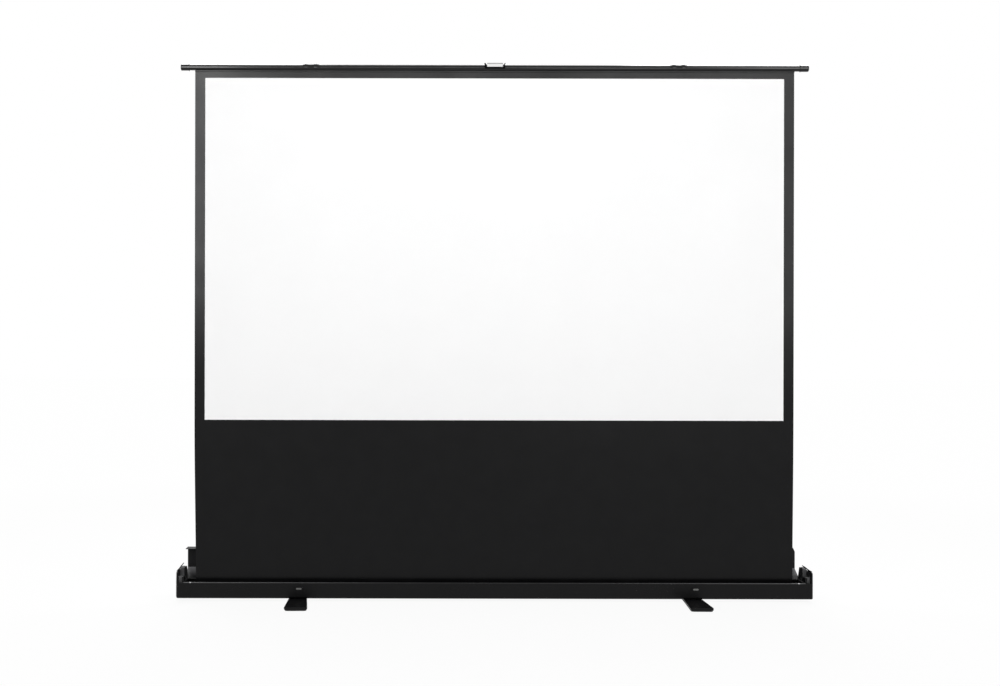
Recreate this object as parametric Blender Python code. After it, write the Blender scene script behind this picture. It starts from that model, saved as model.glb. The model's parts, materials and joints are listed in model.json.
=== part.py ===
"""Pull-up projection screen that stands on the floor, shown raised.

A long base case on two swivelling feet holds a spring roller. Two folding arms behind the
fabric lift a top tube, and the fabric hangs between that tube and the roller. The long lid of
the case stands open behind the fabric.

Metres, +Z up. +X is the viewer's right and -Y is towards the viewer. The origin is on the
floor, under the middle of the base.
"""

import math

import bmesh
import bpy
from mathutils import Matrix, Vector

# Clearances shared by all pieces
GAP = 0.0003
RUNNING = 0.0003
CUT_OVERRUN = 0.004

# Screen sheet
VIEW_WIDTH = 2.184
VIEW_HEIGHT = 1.290
SIDE_BORDER = 0.0385
TOP_BORDER = 0.0237
WHITE_ABOVE_FLOOR = 0.679
BACKING_THICKNESS = 0.0004
VIEWING_THICKNESS = 0.0003
FABRIC_HALF = VIEW_WIDTH / 2 + SIDE_BORDER
WHITE_TOP = WHITE_ABOVE_FLOOR + VIEW_HEIGHT
BATTEN_BOTTOM = WHITE_TOP + TOP_BORDER

# Feet
FOOT_REACH = 0.215
FOOT_TIP_WIDTH = 0.0845
FOOT_WAIST_WIDTH = 0.064
FOOT_THICKNESS = 0.0100
FOOT_CORNER = 0.010
FOOT_EDGE = 0.0020
FOOT_PIVOT_INSET = {"left": 0.3930, "right": 0.3860}
FOOT_TOE_IN = {"left": math.radians(1.5), "right": math.radians(1.2)}
SOLE_THICKNESS = 0.003
SOLE_INSET = 0.003
BOLT_RADIUS = 0.004
BOLT_HEAD_RADIUS = 0.0075
BOLT_HEAD_HEIGHT = 0.0036
BOLT_HEAD_COVER = 0.0005
NUT_RADIUS = 0.0075
NUT_HEIGHT = 0.0055
BOLT_PAST_NUT = 0.002
FOOT_BOTTOM = SOLE_THICKNESS + GAP
FOOT_TOP = FOOT_BOTTOM + FOOT_THICKNESS
FOOT_PIVOT_X = {side: FABRIC_HALF - inset for side, inset in FOOT_PIVOT_INSET.items()}

# Base case, an extrusion open at the top
PIVOT_BEHIND_FRONT = 0.060
CASE_WALL = 0.0022
CASE_FRONT_HEIGHT = 0.0610
CASE_CORNER = 0.008
CASE_OVERHANG = 0.0035
RAIL_DEPTH = 0.0048
RAIL_HEIGHT = 0.0022
RAIL_EDGE = 0.0030
CASE_FRONT = -PIVOT_BEHIND_FRONT
CASE_BOTTOM = FOOT_TOP + GAP
CASE_FLOOR = CASE_BOTTOM + CASE_WALL
CASE_TOP = CASE_BOTTOM + CASE_FRONT_HEIGHT
CASE_HALF = FABRIC_HALF + CASE_OVERHANG

# Roller
ROLLER_RADIUS = 0.016
ROLLER_WALL = 0.0012
FULL_ROLL_RADIUS = 0.022
TURNS_THICKNESS = 0.0010
TURNS_STEP = 0.0004
ROLL_ABOVE_FLOOR = 0.0035
ROLL_BEHIND_FRONT = 0.0078
ROLLER_OVERHANG = 0.0015
PLUG_LENGTH = 0.028
PLUG_FLANGE = 0.0015
ROLLER_PIN_TAIL = 0.003
ROLLER_PIN_RADIUS = 0.005
BRACKET_THICKNESS = 0.0025
BRACKET_FROM_PLUG = 0.001
BRACKET_HALF_DEPTH = 0.020
BRACKET_TOP_MARGIN = 0.009
ARBOR_RADIUS = 0.004
ARBOR_LENGTH = 0.270
ARBOR_COLLAR_RADIUS = 0.0095
ARBOR_COLLAR_LENGTH = 0.006
WINDING_WIRE = 0.0018
WINDING_RADIUS = 0.0072
WINDING_CURLS = 16
ROLLER_Y = CASE_FRONT + CASE_WALL + ROLL_BEHIND_FRONT + FULL_ROLL_RADIUS
ROLLER_Z = CASE_FLOOR + ROLL_ABOVE_FLOOR + FULL_ROLL_RADIUS
ROLLER_HALF = FABRIC_HALF + ROLLER_OVERHANG
TURNS_INNER = ROLLER_RADIUS + GAP
TURNS_OUTER = TURNS_INNER + TURNS_THICKNESS
BACKING_FRONT = ROLLER_Y + TURNS_OUTER + GAP
BACKING_REAR = BACKING_FRONT + BACKING_THICKNESS

# Top tube and what it carries
TUBE_RADIUS = 0.011
TUBE_WALL = 0.0012
BATTEN_HEIGHT = 0.0046
BATTEN_DEPTH = 0.008
BATTEN_SLOT_DEPTH = 0.003
BATTEN_SLOT_CLEARANCE = 0.0004
SLEEVE_RADIUS = 0.012
COLLAR_RADIUS = 0.0135
COLLAR_LENGTH = 0.0034
SLEEVE_END_CLEARANCE = 0.0013
SLEEVE_LENGTH = 0.0306
SLEEVE_END_WALL = 0.004
SLEEVE_DOME = 0.003
TUBE_Y = (BACKING_FRONT + BACKING_REAR) / 2
TUBE_Z = BATTEN_BOTTOM + BATTEN_HEIGHT + GAP + TUBE_RADIUS

# Handle
GRIP_WIDTH = 0.0594
GRIP_HEIGHT = 0.0150
GRIP_THICKNESS = 0.004
GRIP_BELOW_PIN = 0.0025
GRIP_FORWARD = 0.016
GRIP_PIN_RISE = 0.0035
HANDLE_PIN_RADIUS = 0.0011
SADDLE_THICKNESS = 0.0015
SADDLE_HALF = 0.038
EAR_THICKNESS = 0.0042
EAR_FLARE = 0.0055
EAR_RISE = 0.0150
EAR_DROP = 0.004
EAR_FRONT = 0.0035

# Folding arms. The base pivots are straight under the top pivots.
ARM_PIVOT_INSET = 0.4375
ARM_RAISED = math.radians(67.95)
BASE_PIVOT_RISE = 0.0305
STOWED_TUBE_RISE = 0.0735
ARM_HEIGHT = 0.022
ARM_DEPTH = 0.008
ARM_WALL = 0.0016
ARM_SOLID_END = 0.022
ARM_SIDE_GAP = 0.0008
ARM_PAIR_GAP = 0.0034
CLAMP_PLATE = 0.0038
CLAMP_PLATE_GAP = 0.001
CLAMP_HALF = 0.031
CLAMP_SADDLE = 0.0019
CLAMP_BAND = 0.0037
CLAMP_BAND_WIDTH = 0.012
CLAMP_BAND_OFFSET = 0.0175
CLAMP_BOSS_RADIUS = 0.008
ARM_PIN_RADIUS = 0.0032
ARM_PIN_HEAD_RADIUS = 0.0058
ARM_PIN_HEAD = 0.0020
PIN_RECESS = 0.0004
BASE_PIN_RADIUS = 0.004
BASE_PIN_HEAD_RADIUS = 0.0085
BASE_PIN_TAIL = 0.0008
EAR_PLATE = 0.002
BASE_BRACKET_HALF = 0.016
BASE_BRACKET_ABOVE_PIN = 0.014
BASE_BRACKET_CHAMFER = 0.006
SPRING_WIRE = 0.0016
SPRING_RADIUS = 0.0062
SPRING_CURLS = 4
SPRING_LENGTH = 0.0134
ARM_PIVOT_X = FABRIC_HALF - ARM_PIVOT_INSET
BASE_PIVOT_Z = CASE_FLOOR + BASE_PIVOT_RISE
STOWED_TUBE_Z = CASE_FLOOR + STOWED_TUBE_RISE
ARM_LENGTH = (TUBE_Z - BASE_PIVOT_Z) / (2 * math.sin(ARM_RAISED))
PLATE_FRONT = TUBE_Y + TUBE_RADIUS + CLAMP_PLATE_GAP
PLATE_REAR = PLATE_FRONT + CLAMP_PLATE
ARM_PITCH = ARM_DEPTH + ARM_SIDE_GAP
RIGHT_UPPER_Y = PLATE_REAR + GAP
RIGHT_LOWER_Y = RIGHT_UPPER_Y + ARM_PITCH
LEFT_UPPER_Y = RIGHT_LOWER_Y + ARM_DEPTH + ARM_PAIR_GAP
LEFT_LOWER_Y = LEFT_UPPER_Y + ARM_PITCH

# Lid and the hinge groove it turns in
LID_BEAD_RADIUS = 0.0035
GROOVE_CLEARANCE = 0.0004
GROOVE_LIP_INSET = 0.0004
GROOVE_ABOVE_FLOOR = 0.051
LID_SLOPE_DEPTH = 0.060
LID_SLOPE_HEIGHT = 0.0315
LID_WALL = 0.0020
REAR_CLEARANCE = 0.0014
LID_SHORT_OF_CAP = 0.0175
LID_LIP_GAP = 0.0005
LID_CUT_BACK = 0.024
LID_CHAMFER_WIDTH = 0.007
LID_CHAMFER_HEIGHT = 0.015
LID_SWING = math.radians(90)
GROOVE_RADIUS = LID_BEAD_RADIUS + GROOVE_CLEARANCE
GROOVE_OUTER = GROOVE_RADIUS + CASE_WALL
ARMS_REAR = LEFT_LOWER_Y + ARM_DEPTH + GAP + EAR_PLATE + BASE_PIN_TAIL
CASE_REAR = ARMS_REAR + REAR_CLEARANCE + 2 * GROOVE_OUTER + GROOVE_LIP_INSET
HINGE_Y = CASE_REAR - GROOVE_OUTER - GROOVE_LIP_INSET
HINGE_Z = CASE_FLOOR + GROOVE_ABOVE_FLOOR
LID_PANEL_TOP = HINGE_Y - CASE_FRONT
LID_LIP = HINGE_Z + LID_SLOPE_DEPTH - CASE_TOP - LID_LIP_GAP

# End caps
TRAY_LENGTH = 0.0275
INNER_WALL = 0.0077
POCKET_LENGTH = 0.0158
OUTER_WALL = 0.0047
OUTER_WALL_LEAN = 0.0020
POCKET_FLOOR_RISE = 0.0415
CAP_REAR_LIP = 0.0065
OUTER_WALL_RISE = 0.0965
OUTER_WALL_CORNER = 0.012
CAP_SHADOW_LINE = 0.0470
CAP_SHADOW_DEPTH = 0.0012
CAP_SHADOW_HEIGHT = 0.0030
CAP_BOTTOM_ROUND = 0.0100
CAP_CORNER_ROUND = 0.0120
INNER_WALL_UNDER_LID = 0.0045
INNER_WALL_BEHIND_LIP = 0.006
INNER_WALL_BEHIND_SLOPE = 0.004
INNER_WALL_CORNER = 0.006
CAP_START = CASE_HALF + GAP
INNER_WALL_X = CAP_START + TRAY_LENGTH
POCKET_X = INNER_WALL_X + INNER_WALL
OUTER_WALL_X = POCKET_X + POCKET_LENGTH
CAP_END = OUTER_WALL_X + OUTER_WALL + OUTER_WALL_LEAN
POCKET_FLOOR = CASE_FLOOR + POCKET_FLOOR_RISE
OUTER_WALL_TOP = CASE_FLOOR + OUTER_WALL_RISE
CLOSED_LID_TOP = HINGE_Z + LID_SLOPE_DEPTH
SLEEVE_END = OUTER_WALL_X - SLEEVE_END_CLEARANCE
SLEEVE_X = SLEEVE_END - SLEEVE_LENGTH
COLLAR_X = SLEEVE_X - COLLAR_LENGTH
TUBE_HALF = SLEEVE_END - SLEEVE_END_WALL - GAP

# Cradles and end flaps
CRADLE_GAP = 0.0007
CRADLE_SEAT_CLEARANCE = 0.0006
CRADLE_FRONT_DEPTH = 0.016
CRADLE_FRONT_RISE = 0.004
CRADLE_REAR_DEPTH = 0.022
CRADLE_REAR_RISE = 0.0345
NOTCH_CLEARANCE = 0.0015
FLAP_LENGTH = 0.031
FLAP_THICKNESS = 0.0026
FLAP_BARREL = 0.0026
FLAP_FRONT_INSET = 0.0145
FLAP_DEPTH = 0.032
FLAP_LUG = 0.0018
FLAP_PIN_RADIUS = 0.001
FLAP_LEAN = {"left": math.radians(52), "right": math.radians(37)}
FLAP_X = OUTER_WALL_X + OUTER_WALL / 2
FLAP_Z = OUTER_WALL_TOP + FLAP_BARREL + GAP
FLAP_FRONT = CASE_FRONT + FLAP_FRONT_INSET

# Push buttons on the case front
BUTTON_INSET = {"left": 0.3990, "right": 0.3795}
BUTTON_RISE = 0.0358
BUTTON_WIDTH = 0.0205
BUTTON_HEIGHT = 0.0064
BUTTON_DEPTH = 0.006
BUTTON_PROUD = 0.0022
BEZEL_WIDTH = 0.033
BEZEL_HEIGHT = 0.020
BEZEL_THICKNESS = 0.0022
BUTTON_HOUSING_WALL = 0.0012
BUTTON_SPRING_WIRE = 0.0006
BUTTON_SPRING_RADIUS = 0.0024
BUTTON_SPRING_CURLS = 3
BUTTON_SPRING_LENGTH = 0.0045
BUTTON_X = {side: FABRIC_HALF - inset for side, inset in BUTTON_INSET.items()}
BUTTON_Z = CASE_FLOOR + BUTTON_RISE

# Steps round arcs, wires and turned pieces
ROUND_STEPS = 24
SMALL_STEPS = 12
PIN_STEPS = 10
NUT_SIDES = 6
ARC_STEPS = 6
CURL_POINTS = 8
WIRE_RESOLUTION = 1

SIDES = {"left": -1, "right": 1}


def clear_scene():
    for obj in list(bpy.data.objects):
        bpy.data.objects.remove(obj, do_unlink=True)


def finish(name, colour, roughness, metallic=0.0):
    """A plain surface: colour, roughness and metallic value."""
    made = bpy.data.materials.new(name)
    made.use_nodes = True
    shader = made.node_tree.nodes["Principled BSDF"]
    shader.inputs["Base Color"].default_value = (*colour, 1.0)
    shader.inputs["Roughness"].default_value = roughness
    shader.inputs["Metallic"].default_value = metallic
    made.diffuse_color = (*colour, 1.0)
    return made


def axis_point(name, place, parent=None, turn_y=0.0, turn_z=0.0):
    """An empty on a joint's axis. Its pieces are its children."""
    empty = bpy.data.objects.new(name, None)
    bpy.context.scene.collection.objects.link(empty)
    empty.empty_display_size = GAP
    empty.parent = parent
    empty.location = place
    empty.rotation_euler = (0.0, turn_y, turn_z)
    return empty


def add_piece(name, mesh, look, parent=None):
    obj = bpy.data.objects.new(name, mesh)
    bpy.context.scene.collection.objects.link(obj)
    if look is not None:
        mesh.materials.append(look)
    obj.parent = parent
    return obj


def from_bmesh(name, shape, look, parent=None):
    bmesh.ops.recalc_face_normals(shape, faces=shape.faces)
    mesh = bpy.data.meshes.new(name)
    shape.to_mesh(mesh)
    shape.free()
    mesh.shade_smooth()
    mesh.set_sharp_from_angle(angle=math.radians(35))
    return add_piece(name, mesh, look, parent)


def on_axis(axis, along, across, up):
    """A point given along an axis and in the plane square to it."""
    if axis == "x":
        return Vector((along, across, up))
    if axis == "y":
        return Vector((across, along, up))
    return Vector((across, up, along))


def prism(name, outline, axis, start, end, look, parent=None):
    """An outline drawn square to an axis and extruded from start to end along it."""
    shape = bmesh.new()
    first = [shape.verts.new(on_axis(axis, start, a, b)) for a, b in outline]
    last = [shape.verts.new(on_axis(axis, end, a, b)) for a, b in outline]
    shape.faces.new(first)
    shape.faces.new(reversed(last))
    for i in range(len(outline)):
        j = (i + 1) % len(outline)
        shape.faces.new((first[i], first[j], last[j], last[i]))
    return from_bmesh(name, shape, look, parent)


def turned(name, profile, axis, centre, steps, look, parent=None):
    """A profile of (radius, along) points turned about an axis through centre."""
    shape = bmesh.new()
    rings = []
    for radius, along in profile:
        if radius == 0:
            rings.append([shape.verts.new(on_axis(axis, along, centre[0], centre[1]))])
            continue
        ring = []
        for step in range(steps):
            angle = 2 * math.pi * (step + 0.5) / steps
            across = centre[0] + radius * math.cos(angle)
            up = centre[1] + radius * math.sin(angle)
            ring.append(shape.verts.new(on_axis(axis, along, across, up)))
        rings.append(ring)
    pairs = list(zip(rings, rings[1:]))
    if len(rings[0]) > 1:
        pairs.append((rings[-1], rings[0]))
    for a, b in pairs:
        for i in range(steps):
            j = (i + 1) % steps
            corners = [a[i % len(a)], a[j % len(a)], b[j % len(b)], b[i % len(b)]]
            unique = list(dict.fromkeys(corners))
            shape.faces.new(unique)
    return from_bmesh(name, shape, look, parent)


def rod(name, axis, centre, radius, start, end, steps, look, parent=None):
    return turned(name, [(0, start), (radius, start), (radius, end), (0, end)],
                  axis, centre, steps, look, parent)


def ring_tube(name, axis, centre, inner, outer, start, end, steps, look, parent=None):
    return turned(name, [(inner, start), (outer, start), (outer, end), (inner, end)],
                  axis, centre, steps, look, parent)


def headed_pin(name, centre, radius, head_radius, head_end, head_start, tail, look, parent):
    """A pin along Y: a head from head_end to head_start, then a shank to tail."""
    profile = [(0, head_end), (head_radius, head_end), (head_radius, head_start),
               (radius, head_start), (radius, tail), (0, tail)]
    return turned(name, profile, "y", centre, SMALL_STEPS, look, parent)


def arc(centre, radius, start, end, steps):
    """Points on an arc, with angles in degrees counted from the first axis to the second."""
    points = []
    for step in range(steps + 1):
        angle = math.radians(start + (end - start) * step / steps)
        points.append((centre[0] + radius * math.cos(angle), centre[1] + radius * math.sin(angle)))
    return points


def part_ring(inner, outer, start, end):
    """A strip bent round the origin, between two angles in degrees."""
    return (arc((0, 0), outer, start, end, 2 * ARC_STEPS)
            + arc((0, 0), inner, end, start, 2 * ARC_STEPS))


def rounded_box(low, high, radius, steps=3):
    """A rectangle with round corners, from its low corner to its high corner."""
    (x0, y0), (x1, y1) = low, high
    return (arc((x0 + radius, y0 + radius), radius, 180, 270, steps)
            + arc((x1 - radius, y0 + radius), radius, 270, 360, steps)
            + arc((x1 - radius, y1 - radius), radius, 0, 90, steps)
            + arc((x0 + radius, y1 - radius), radius, 90, 180, steps))


def pill(centre, width, height, steps=ARC_STEPS):
    """A long round-ended outline."""
    radius = height / 2
    reach = width / 2 - radius
    return (arc((centre[0] + reach, centre[1]), radius, -90, 90, steps)
            + arc((centre[0] - reach, centre[1]), radius, 90, 270, steps))


def boolean(target, tool, operation):
    tool.hide_render = True
    tool.display_type = "WIRE"
    modifier = target.modifiers.new(tool.name, "BOOLEAN")
    modifier.operation = operation
    modifier.solver = "EXACT"
    modifier.object = tool


def cut(target, tool):
    boolean(target, tool, "DIFFERENCE")


def join(target, tool):
    boolean(target, tool, "UNION")


def soften(obj, width, segments=1):
    bevel = obj.modifiers.new("edges", "BEVEL")
    bevel.width = width
    bevel.segments = segments
    bevel.limit_method = "ANGLE"
    bevel.angle_limit = math.radians(50)


def coil_points(axis, centre, radius, start, end, wire, curls):
    """The path of a coil spring whose ends run straight along its axis for one wire width."""
    first = start + wire
    last = end - wire
    points = [on_axis(axis, start, centre[0] + radius, centre[1])]
    count = curls * CURL_POINTS
    for step in range(count + 1):
        angle = 2 * math.pi * step / CURL_POINTS
        along = first + (last - first) * step / count
        across = centre[0] + radius * math.cos(angle)
        up = centre[1] + radius * math.sin(angle)
        points.append(on_axis(axis, along, across, up))
    points.append(on_axis(axis, end, centre[0] + radius, centre[1]))
    return points


def coil_gap(points, wire):
    """The least clear distance between neighbouring curls, measured on the path's points."""
    body = points[1:-1]
    return min((body[i + CURL_POINTS] - body[i]).length
               for i in range(len(body) - CURL_POINTS)) - wire


def coil(name, axis, centre, radius, start, end, wire, curls, look, parent=None):
    points = coil_points(axis, centre, radius, start, end, wire, curls)
    print(f"{name}: least gap between curls {coil_gap(points, wire) * 1000:.2f} mm")
    path = bpy.data.curves.new(name, "CURVE")
    path.dimensions = "3D"
    path.bevel_depth = wire / 2
    path.bevel_resolution = WIRE_RESOLUTION
    path.use_fill_caps = True
    spline = path.splines.new("POLY")
    spline.points.add(len(points) - 1)
    for place, point in zip(spline.points, points):
        place.co = (*point, 1.0)
    path.materials.append(look)
    obj = bpy.data.objects.new(name, path)
    bpy.context.scene.collection.objects.link(obj)
    obj.parent = parent
    return obj


def make_finishes():
    return {
        "case": finish("black_painted_aluminium", (0.012, 0.012, 0.013), 0.38, 0.0),
        "cap": finish("black_moulded_plastic", (0.016, 0.016, 0.017), 0.45),
        "cradle": finish("grey_moulded_plastic", (0.055, 0.055, 0.056), 0.5),
        "steel": finish("bright_zinc_steel", (0.60, 0.60, 0.61), 0.3, 1.0),
        "arm": finish("black_painted_steel", (0.015, 0.015, 0.016), 0.42),
        "roller": finish("mill_aluminium", (0.72, 0.72, 0.73), 0.35, 1.0),
        "backing": finish("black_pvc_fabric", (0.012, 0.012, 0.012), 0.6),
        "viewing": finish("matt_white_pvc", (0.92, 0.92, 0.92), 0.8),
        "tube": finish("black_painted_tube", (0.014, 0.014, 0.015), 0.3),
        "grip": finish("light_grey_plastic", (0.70, 0.70, 0.71), 0.4),
        "rubber": finish("black_rubber", (0.02, 0.02, 0.02), 0.9),
        "button": finish("satin_metal", (0.55, 0.55, 0.56), 0.35, 1.0),
    }


def rail_outline(floor_z, rear_top):
    """The case's section: front wall with its inward rail, floor, and rear wall to rear_top."""
    inner_corner = CASE_CORNER - CASE_WALL
    inner_front = CASE_FRONT + CASE_WALL
    inner_rear = CASE_REAR - CASE_WALL
    outline = arc((CASE_FRONT + RAIL_EDGE, CASE_TOP - RAIL_EDGE), RAIL_EDGE, 90, 180, ARC_STEPS)
    outline += arc((CASE_FRONT + CASE_CORNER, CASE_BOTTOM + CASE_CORNER), CASE_CORNER, 180, 270, ARC_STEPS)
    outline += arc((CASE_REAR - CASE_CORNER, CASE_BOTTOM + CASE_CORNER), CASE_CORNER, 270, 360, ARC_STEPS)
    rear = rear_top if isinstance(rear_top, list) else [(CASE_REAR, rear_top), (inner_rear, rear_top)]
    outline += rear
    if floor_z - CASE_FLOOR < inner_corner:
        outline += arc((inner_rear - inner_corner, floor_z + inner_corner), inner_corner, 0, -90, 3)
        outline += arc((inner_front + inner_corner, floor_z + inner_corner), inner_corner, 270, 180, 3)
    else:
        outline += [(inner_rear, floor_z), (inner_front, floor_z)]
    outline += [(inner_front, CASE_TOP - RAIL_HEIGHT - CASE_WALL),
                (CASE_FRONT + RAIL_DEPTH, CASE_TOP - RAIL_HEIGHT),
                (CASE_FRONT + RAIL_DEPTH, CASE_TOP)]
    return outline


def groove_outline():
    """The top of the rear wall: a round groove, open upwards, that the lid's bead turns in."""
    centre = (HINGE_Y, HINGE_Z)
    neck_start, neck_end = neck_angles()
    margin = 6
    mouth_low = neck_start - margin
    mouth_high = neck_end + math.degrees(LID_SWING) + margin
    inner_rear = CASE_REAR - CASE_WALL
    reach = inner_rear - HINGE_Y
    meets = -math.degrees(math.acos(reach / GROOVE_OUTER))
    outer_end = arc(centre, GROOVE_OUTER, mouth_low, mouth_low, 1)[:1]
    inside = arc(centre, GROOVE_RADIUS, 360 + mouth_low, mouth_high, 2 * ARC_STEPS)
    outside = arc(centre, GROOVE_OUTER, mouth_high, 360 + meets, 2 * ARC_STEPS)
    return [(CASE_REAR, HINGE_Z)] + outer_end + inside + outside


def neck_angles():
    """Where the lid's leaf leaves its bead at rest, as two angles in degrees."""
    slope = math.atan2(LID_SLOPE_HEIGHT, LID_SLOPE_DEPTH)
    inner = slope + math.asin(LID_WALL / LID_BEAD_RADIUS)
    return math.degrees(slope), math.degrees(inner)


def make_case(looks):
    case = prism("base_case", rail_outline(CASE_FLOOR, groove_outline()), "x",
                 -CASE_HALF, CASE_HALF, looks["case"])
    for side, sign in SIDES.items():
        hole = rod(f"cut_foot_hole_{side}", "z", (sign * FOOT_PIVOT_X[side], 0), BOLT_RADIUS + GAP,
                   CASE_BOTTOM - CUT_OVERRUN, CASE_FLOOR + CUT_OVERRUN, SMALL_STEPS, None)
        cut(case, hole)
        width = BUTTON_WIDTH + 2 * (BUTTON_HOUSING_WALL + 2 * GAP)
        height = BUTTON_HEIGHT + 2 * (BUTTON_HOUSING_WALL + 2 * GAP)
        slot = prism(f"cut_button_slot_{side}", pill((sign * BUTTON_X[side], BUTTON_Z), width, height), "y",
                     CASE_FRONT - CUT_OVERRUN, CASE_FRONT + CASE_WALL + CUT_OVERRUN, None)
        cut(case, slot)


def inner_wall_outline():
    """The cap's inner wall, which follows the inside of the closed lid."""
    top = CLOSED_LID_TOP - INNER_WALL_UNDER_LID
    front = CASE_FRONT + INNER_WALL_BEHIND_LIP
    slope = math.atan2(LID_SLOPE_HEIGHT, LID_SLOPE_DEPTH)
    inset = LID_WALL + INNER_WALL_BEHIND_SLOPE
    # The closed slope runs up and forward from the hinge, and the wall stays inside it.
    run = (-math.sin(slope), math.cos(slope))
    start = (HINGE_Y - inset * math.cos(slope), HINGE_Z - inset * math.sin(slope))
    share = (top - start[1]) / run[1]
    crest = (start[0] + run[0] * share, top)
    low = (HINGE_Y - 2 * GROOVE_OUTER, HINGE_Z - GROOVE_OUTER)
    bottom = CASE_FLOOR - CASE_WALL / 2
    outline = [(front, bottom), (low[0], bottom), low, crest]
    outline += arc((front + INNER_WALL_CORNER, top - INNER_WALL_CORNER), INNER_WALL_CORNER, 90, 180, 3)
    return outline


def outer_wall_outline():
    outline = arc((CASE_FRONT + CASE_CORNER, CASE_BOTTOM + CASE_CORNER), CASE_CORNER, 180, 270, ARC_STEPS)
    outline += arc((CASE_REAR - CASE_CORNER, CASE_BOTTOM + CASE_CORNER), CASE_CORNER, 270, 360, ARC_STEPS)
    outline += arc((CASE_REAR - OUTER_WALL_CORNER, OUTER_WALL_TOP - OUTER_WALL_CORNER),
                   OUTER_WALL_CORNER, 0, 90, 4)
    outline += arc((CASE_FRONT + OUTER_WALL_CORNER, OUTER_WALL_TOP - OUTER_WALL_CORNER),
                   OUTER_WALL_CORNER, 90, 180, 4)
    return outline


def cap_front_outline(sign):
    """The cap seen from the front: a round bottom corner, a shadow line, and an outer face that
    leans inwards above it."""
    shadow = CASE_FLOOR + CAP_SHADOW_LINE
    inner = CAP_START - CUT_OVERRUN
    top = CLOSED_LID_TOP + CUT_OVERRUN
    outline = [(inner, CASE_BOTTOM - CUT_OVERRUN), (CAP_END - CAP_BOTTOM_ROUND, CASE_BOTTOM - CUT_OVERRUN)]
    outline += arc((CAP_END - CAP_BOTTOM_ROUND, CASE_BOTTOM + CAP_BOTTOM_ROUND), CAP_BOTTOM_ROUND,
                   270, 360, ARC_STEPS)
    outline += [(CAP_END, shadow), (CAP_END - CAP_SHADOW_DEPTH, shadow),
                (CAP_END - CAP_SHADOW_DEPTH, shadow + CAP_SHADOW_HEIGHT),
                (CAP_END, shadow + CAP_SHADOW_HEIGHT),
                (CAP_END - OUTER_WALL_LEAN, OUTER_WALL_TOP), (CAP_END - OUTER_WALL_LEAN, top), (inner, top)]
    return [(sign * x, z) for x, z in outline]


def cap_plan_outline(sign):
    """The cap seen from above: its two outer corners are round."""
    inner = CAP_START - CUT_OVERRUN
    centre = CAP_END - CAP_CORNER_ROUND
    outline = [(inner, CASE_FRONT - CUT_OVERRUN), (centre, CASE_FRONT - CUT_OVERRUN)]
    outline += arc((centre, CASE_FRONT + CAP_CORNER_ROUND), CAP_CORNER_ROUND, 270, 360, ARC_STEPS)
    outline += arc((centre, CASE_REAR - CAP_CORNER_ROUND), CAP_CORNER_ROUND, 0, 90, ARC_STEPS)
    outline += [(centre, CASE_REAR + CUT_OVERRUN), (inner, CASE_REAR + CUT_OVERRUN)]
    return [(sign * x, y) for x, y in outline]


def make_end_cap(side, sign, looks):
    """A moulded cap: a tray that lines up with the case, an inner wall, a pocket and an outer wall."""
    name = f"end_cap_{side}"
    rear_top = POCKET_FLOOR + CAP_REAR_LIP
    cap = prism(name, rail_outline(POCKET_FLOOR, rear_top), "x", sign * INNER_WALL_X, sign * CAP_END,
                looks["cap"])
    tray = prism(f"join_tray_{side}", rail_outline(CASE_FLOOR, rear_top), "x",
                 sign * CAP_START, sign * (INNER_WALL_X + INNER_WALL / 2), None)
    inner = prism(f"join_inner_wall_{side}", inner_wall_outline(), "x",
                  sign * INNER_WALL_X, sign * POCKET_X, None)
    outer = prism(f"join_outer_wall_{side}", outer_wall_outline(), "x",
                  sign * OUTER_WALL_X, sign * CAP_END, None)
    join(cap, tray)
    join(cap, inner)
    join(cap, outer)
    for end, place in (("front", FLAP_FRONT - GAP - FLAP_LUG), ("rear", FLAP_FRONT + FLAP_DEPTH + GAP)):
        lug_half = OUTER_WALL / 2 - GAP
        lug_outline = arc((sign * FLAP_X, FLAP_Z), lug_half, 0, 180, ARC_STEPS)
        lug_outline += [(sign * FLAP_X - lug_half, OUTER_WALL_TOP - FLAP_BARREL),
                        (sign * FLAP_X + lug_half, OUTER_WALL_TOP - FLAP_BARREL)]
        lug = prism(f"join_lug_{end}_{side}", lug_outline, "y", place, place + FLAP_LUG, None)
        pin_hole = rod(f"cut_flap_pin_{end}_{side}", "y", (sign * FLAP_X, FLAP_Z), FLAP_PIN_RADIUS + GAP,
                       place - CUT_OVERRUN, place + FLAP_LUG + CUT_OVERRUN, PIN_STEPS, None)
        cut(lug, pin_hole)
        join(cap, lug)
    notch_half = SLEEVE_RADIUS + NOTCH_CLEARANCE
    notch_outline = arc((TUBE_Y, STOWED_TUBE_Z), notch_half, 180, 360, ARC_STEPS)
    # Behind the tube the wall stays high. In front of it the wall is as low as the cradle's horn.
    notch_front = STOWED_TUBE_Z + CRADLE_FRONT_RISE
    notch_outline += [(TUBE_Y + notch_half, CLOSED_LID_TOP + CUT_OVERRUN),
                      (CASE_FRONT - CUT_OVERRUN, CLOSED_LID_TOP + CUT_OVERRUN),
                      (CASE_FRONT - CUT_OVERRUN, notch_front), (TUBE_Y - notch_half, notch_front)]
    notch = prism(f"cut_tube_notch_{side}", notch_outline, "x",
                  sign * (INNER_WALL_X - CUT_OVERRUN), sign * (POCKET_X + GAP), None)
    cut(cap, notch)
    boolean(cap, prism(f"keep_cap_front_{side}", cap_front_outline(sign), "y", CASE_FRONT - CUT_OVERRUN,
                       CASE_REAR + CUT_OVERRUN, None), "INTERSECT")
    boolean(cap, prism(f"keep_cap_plan_{side}", cap_plan_outline(sign), "z", CASE_BOTTOM - CUT_OVERRUN,
                       CLOSED_LID_TOP + CUT_OVERRUN, None), "INTERSECT")


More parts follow.
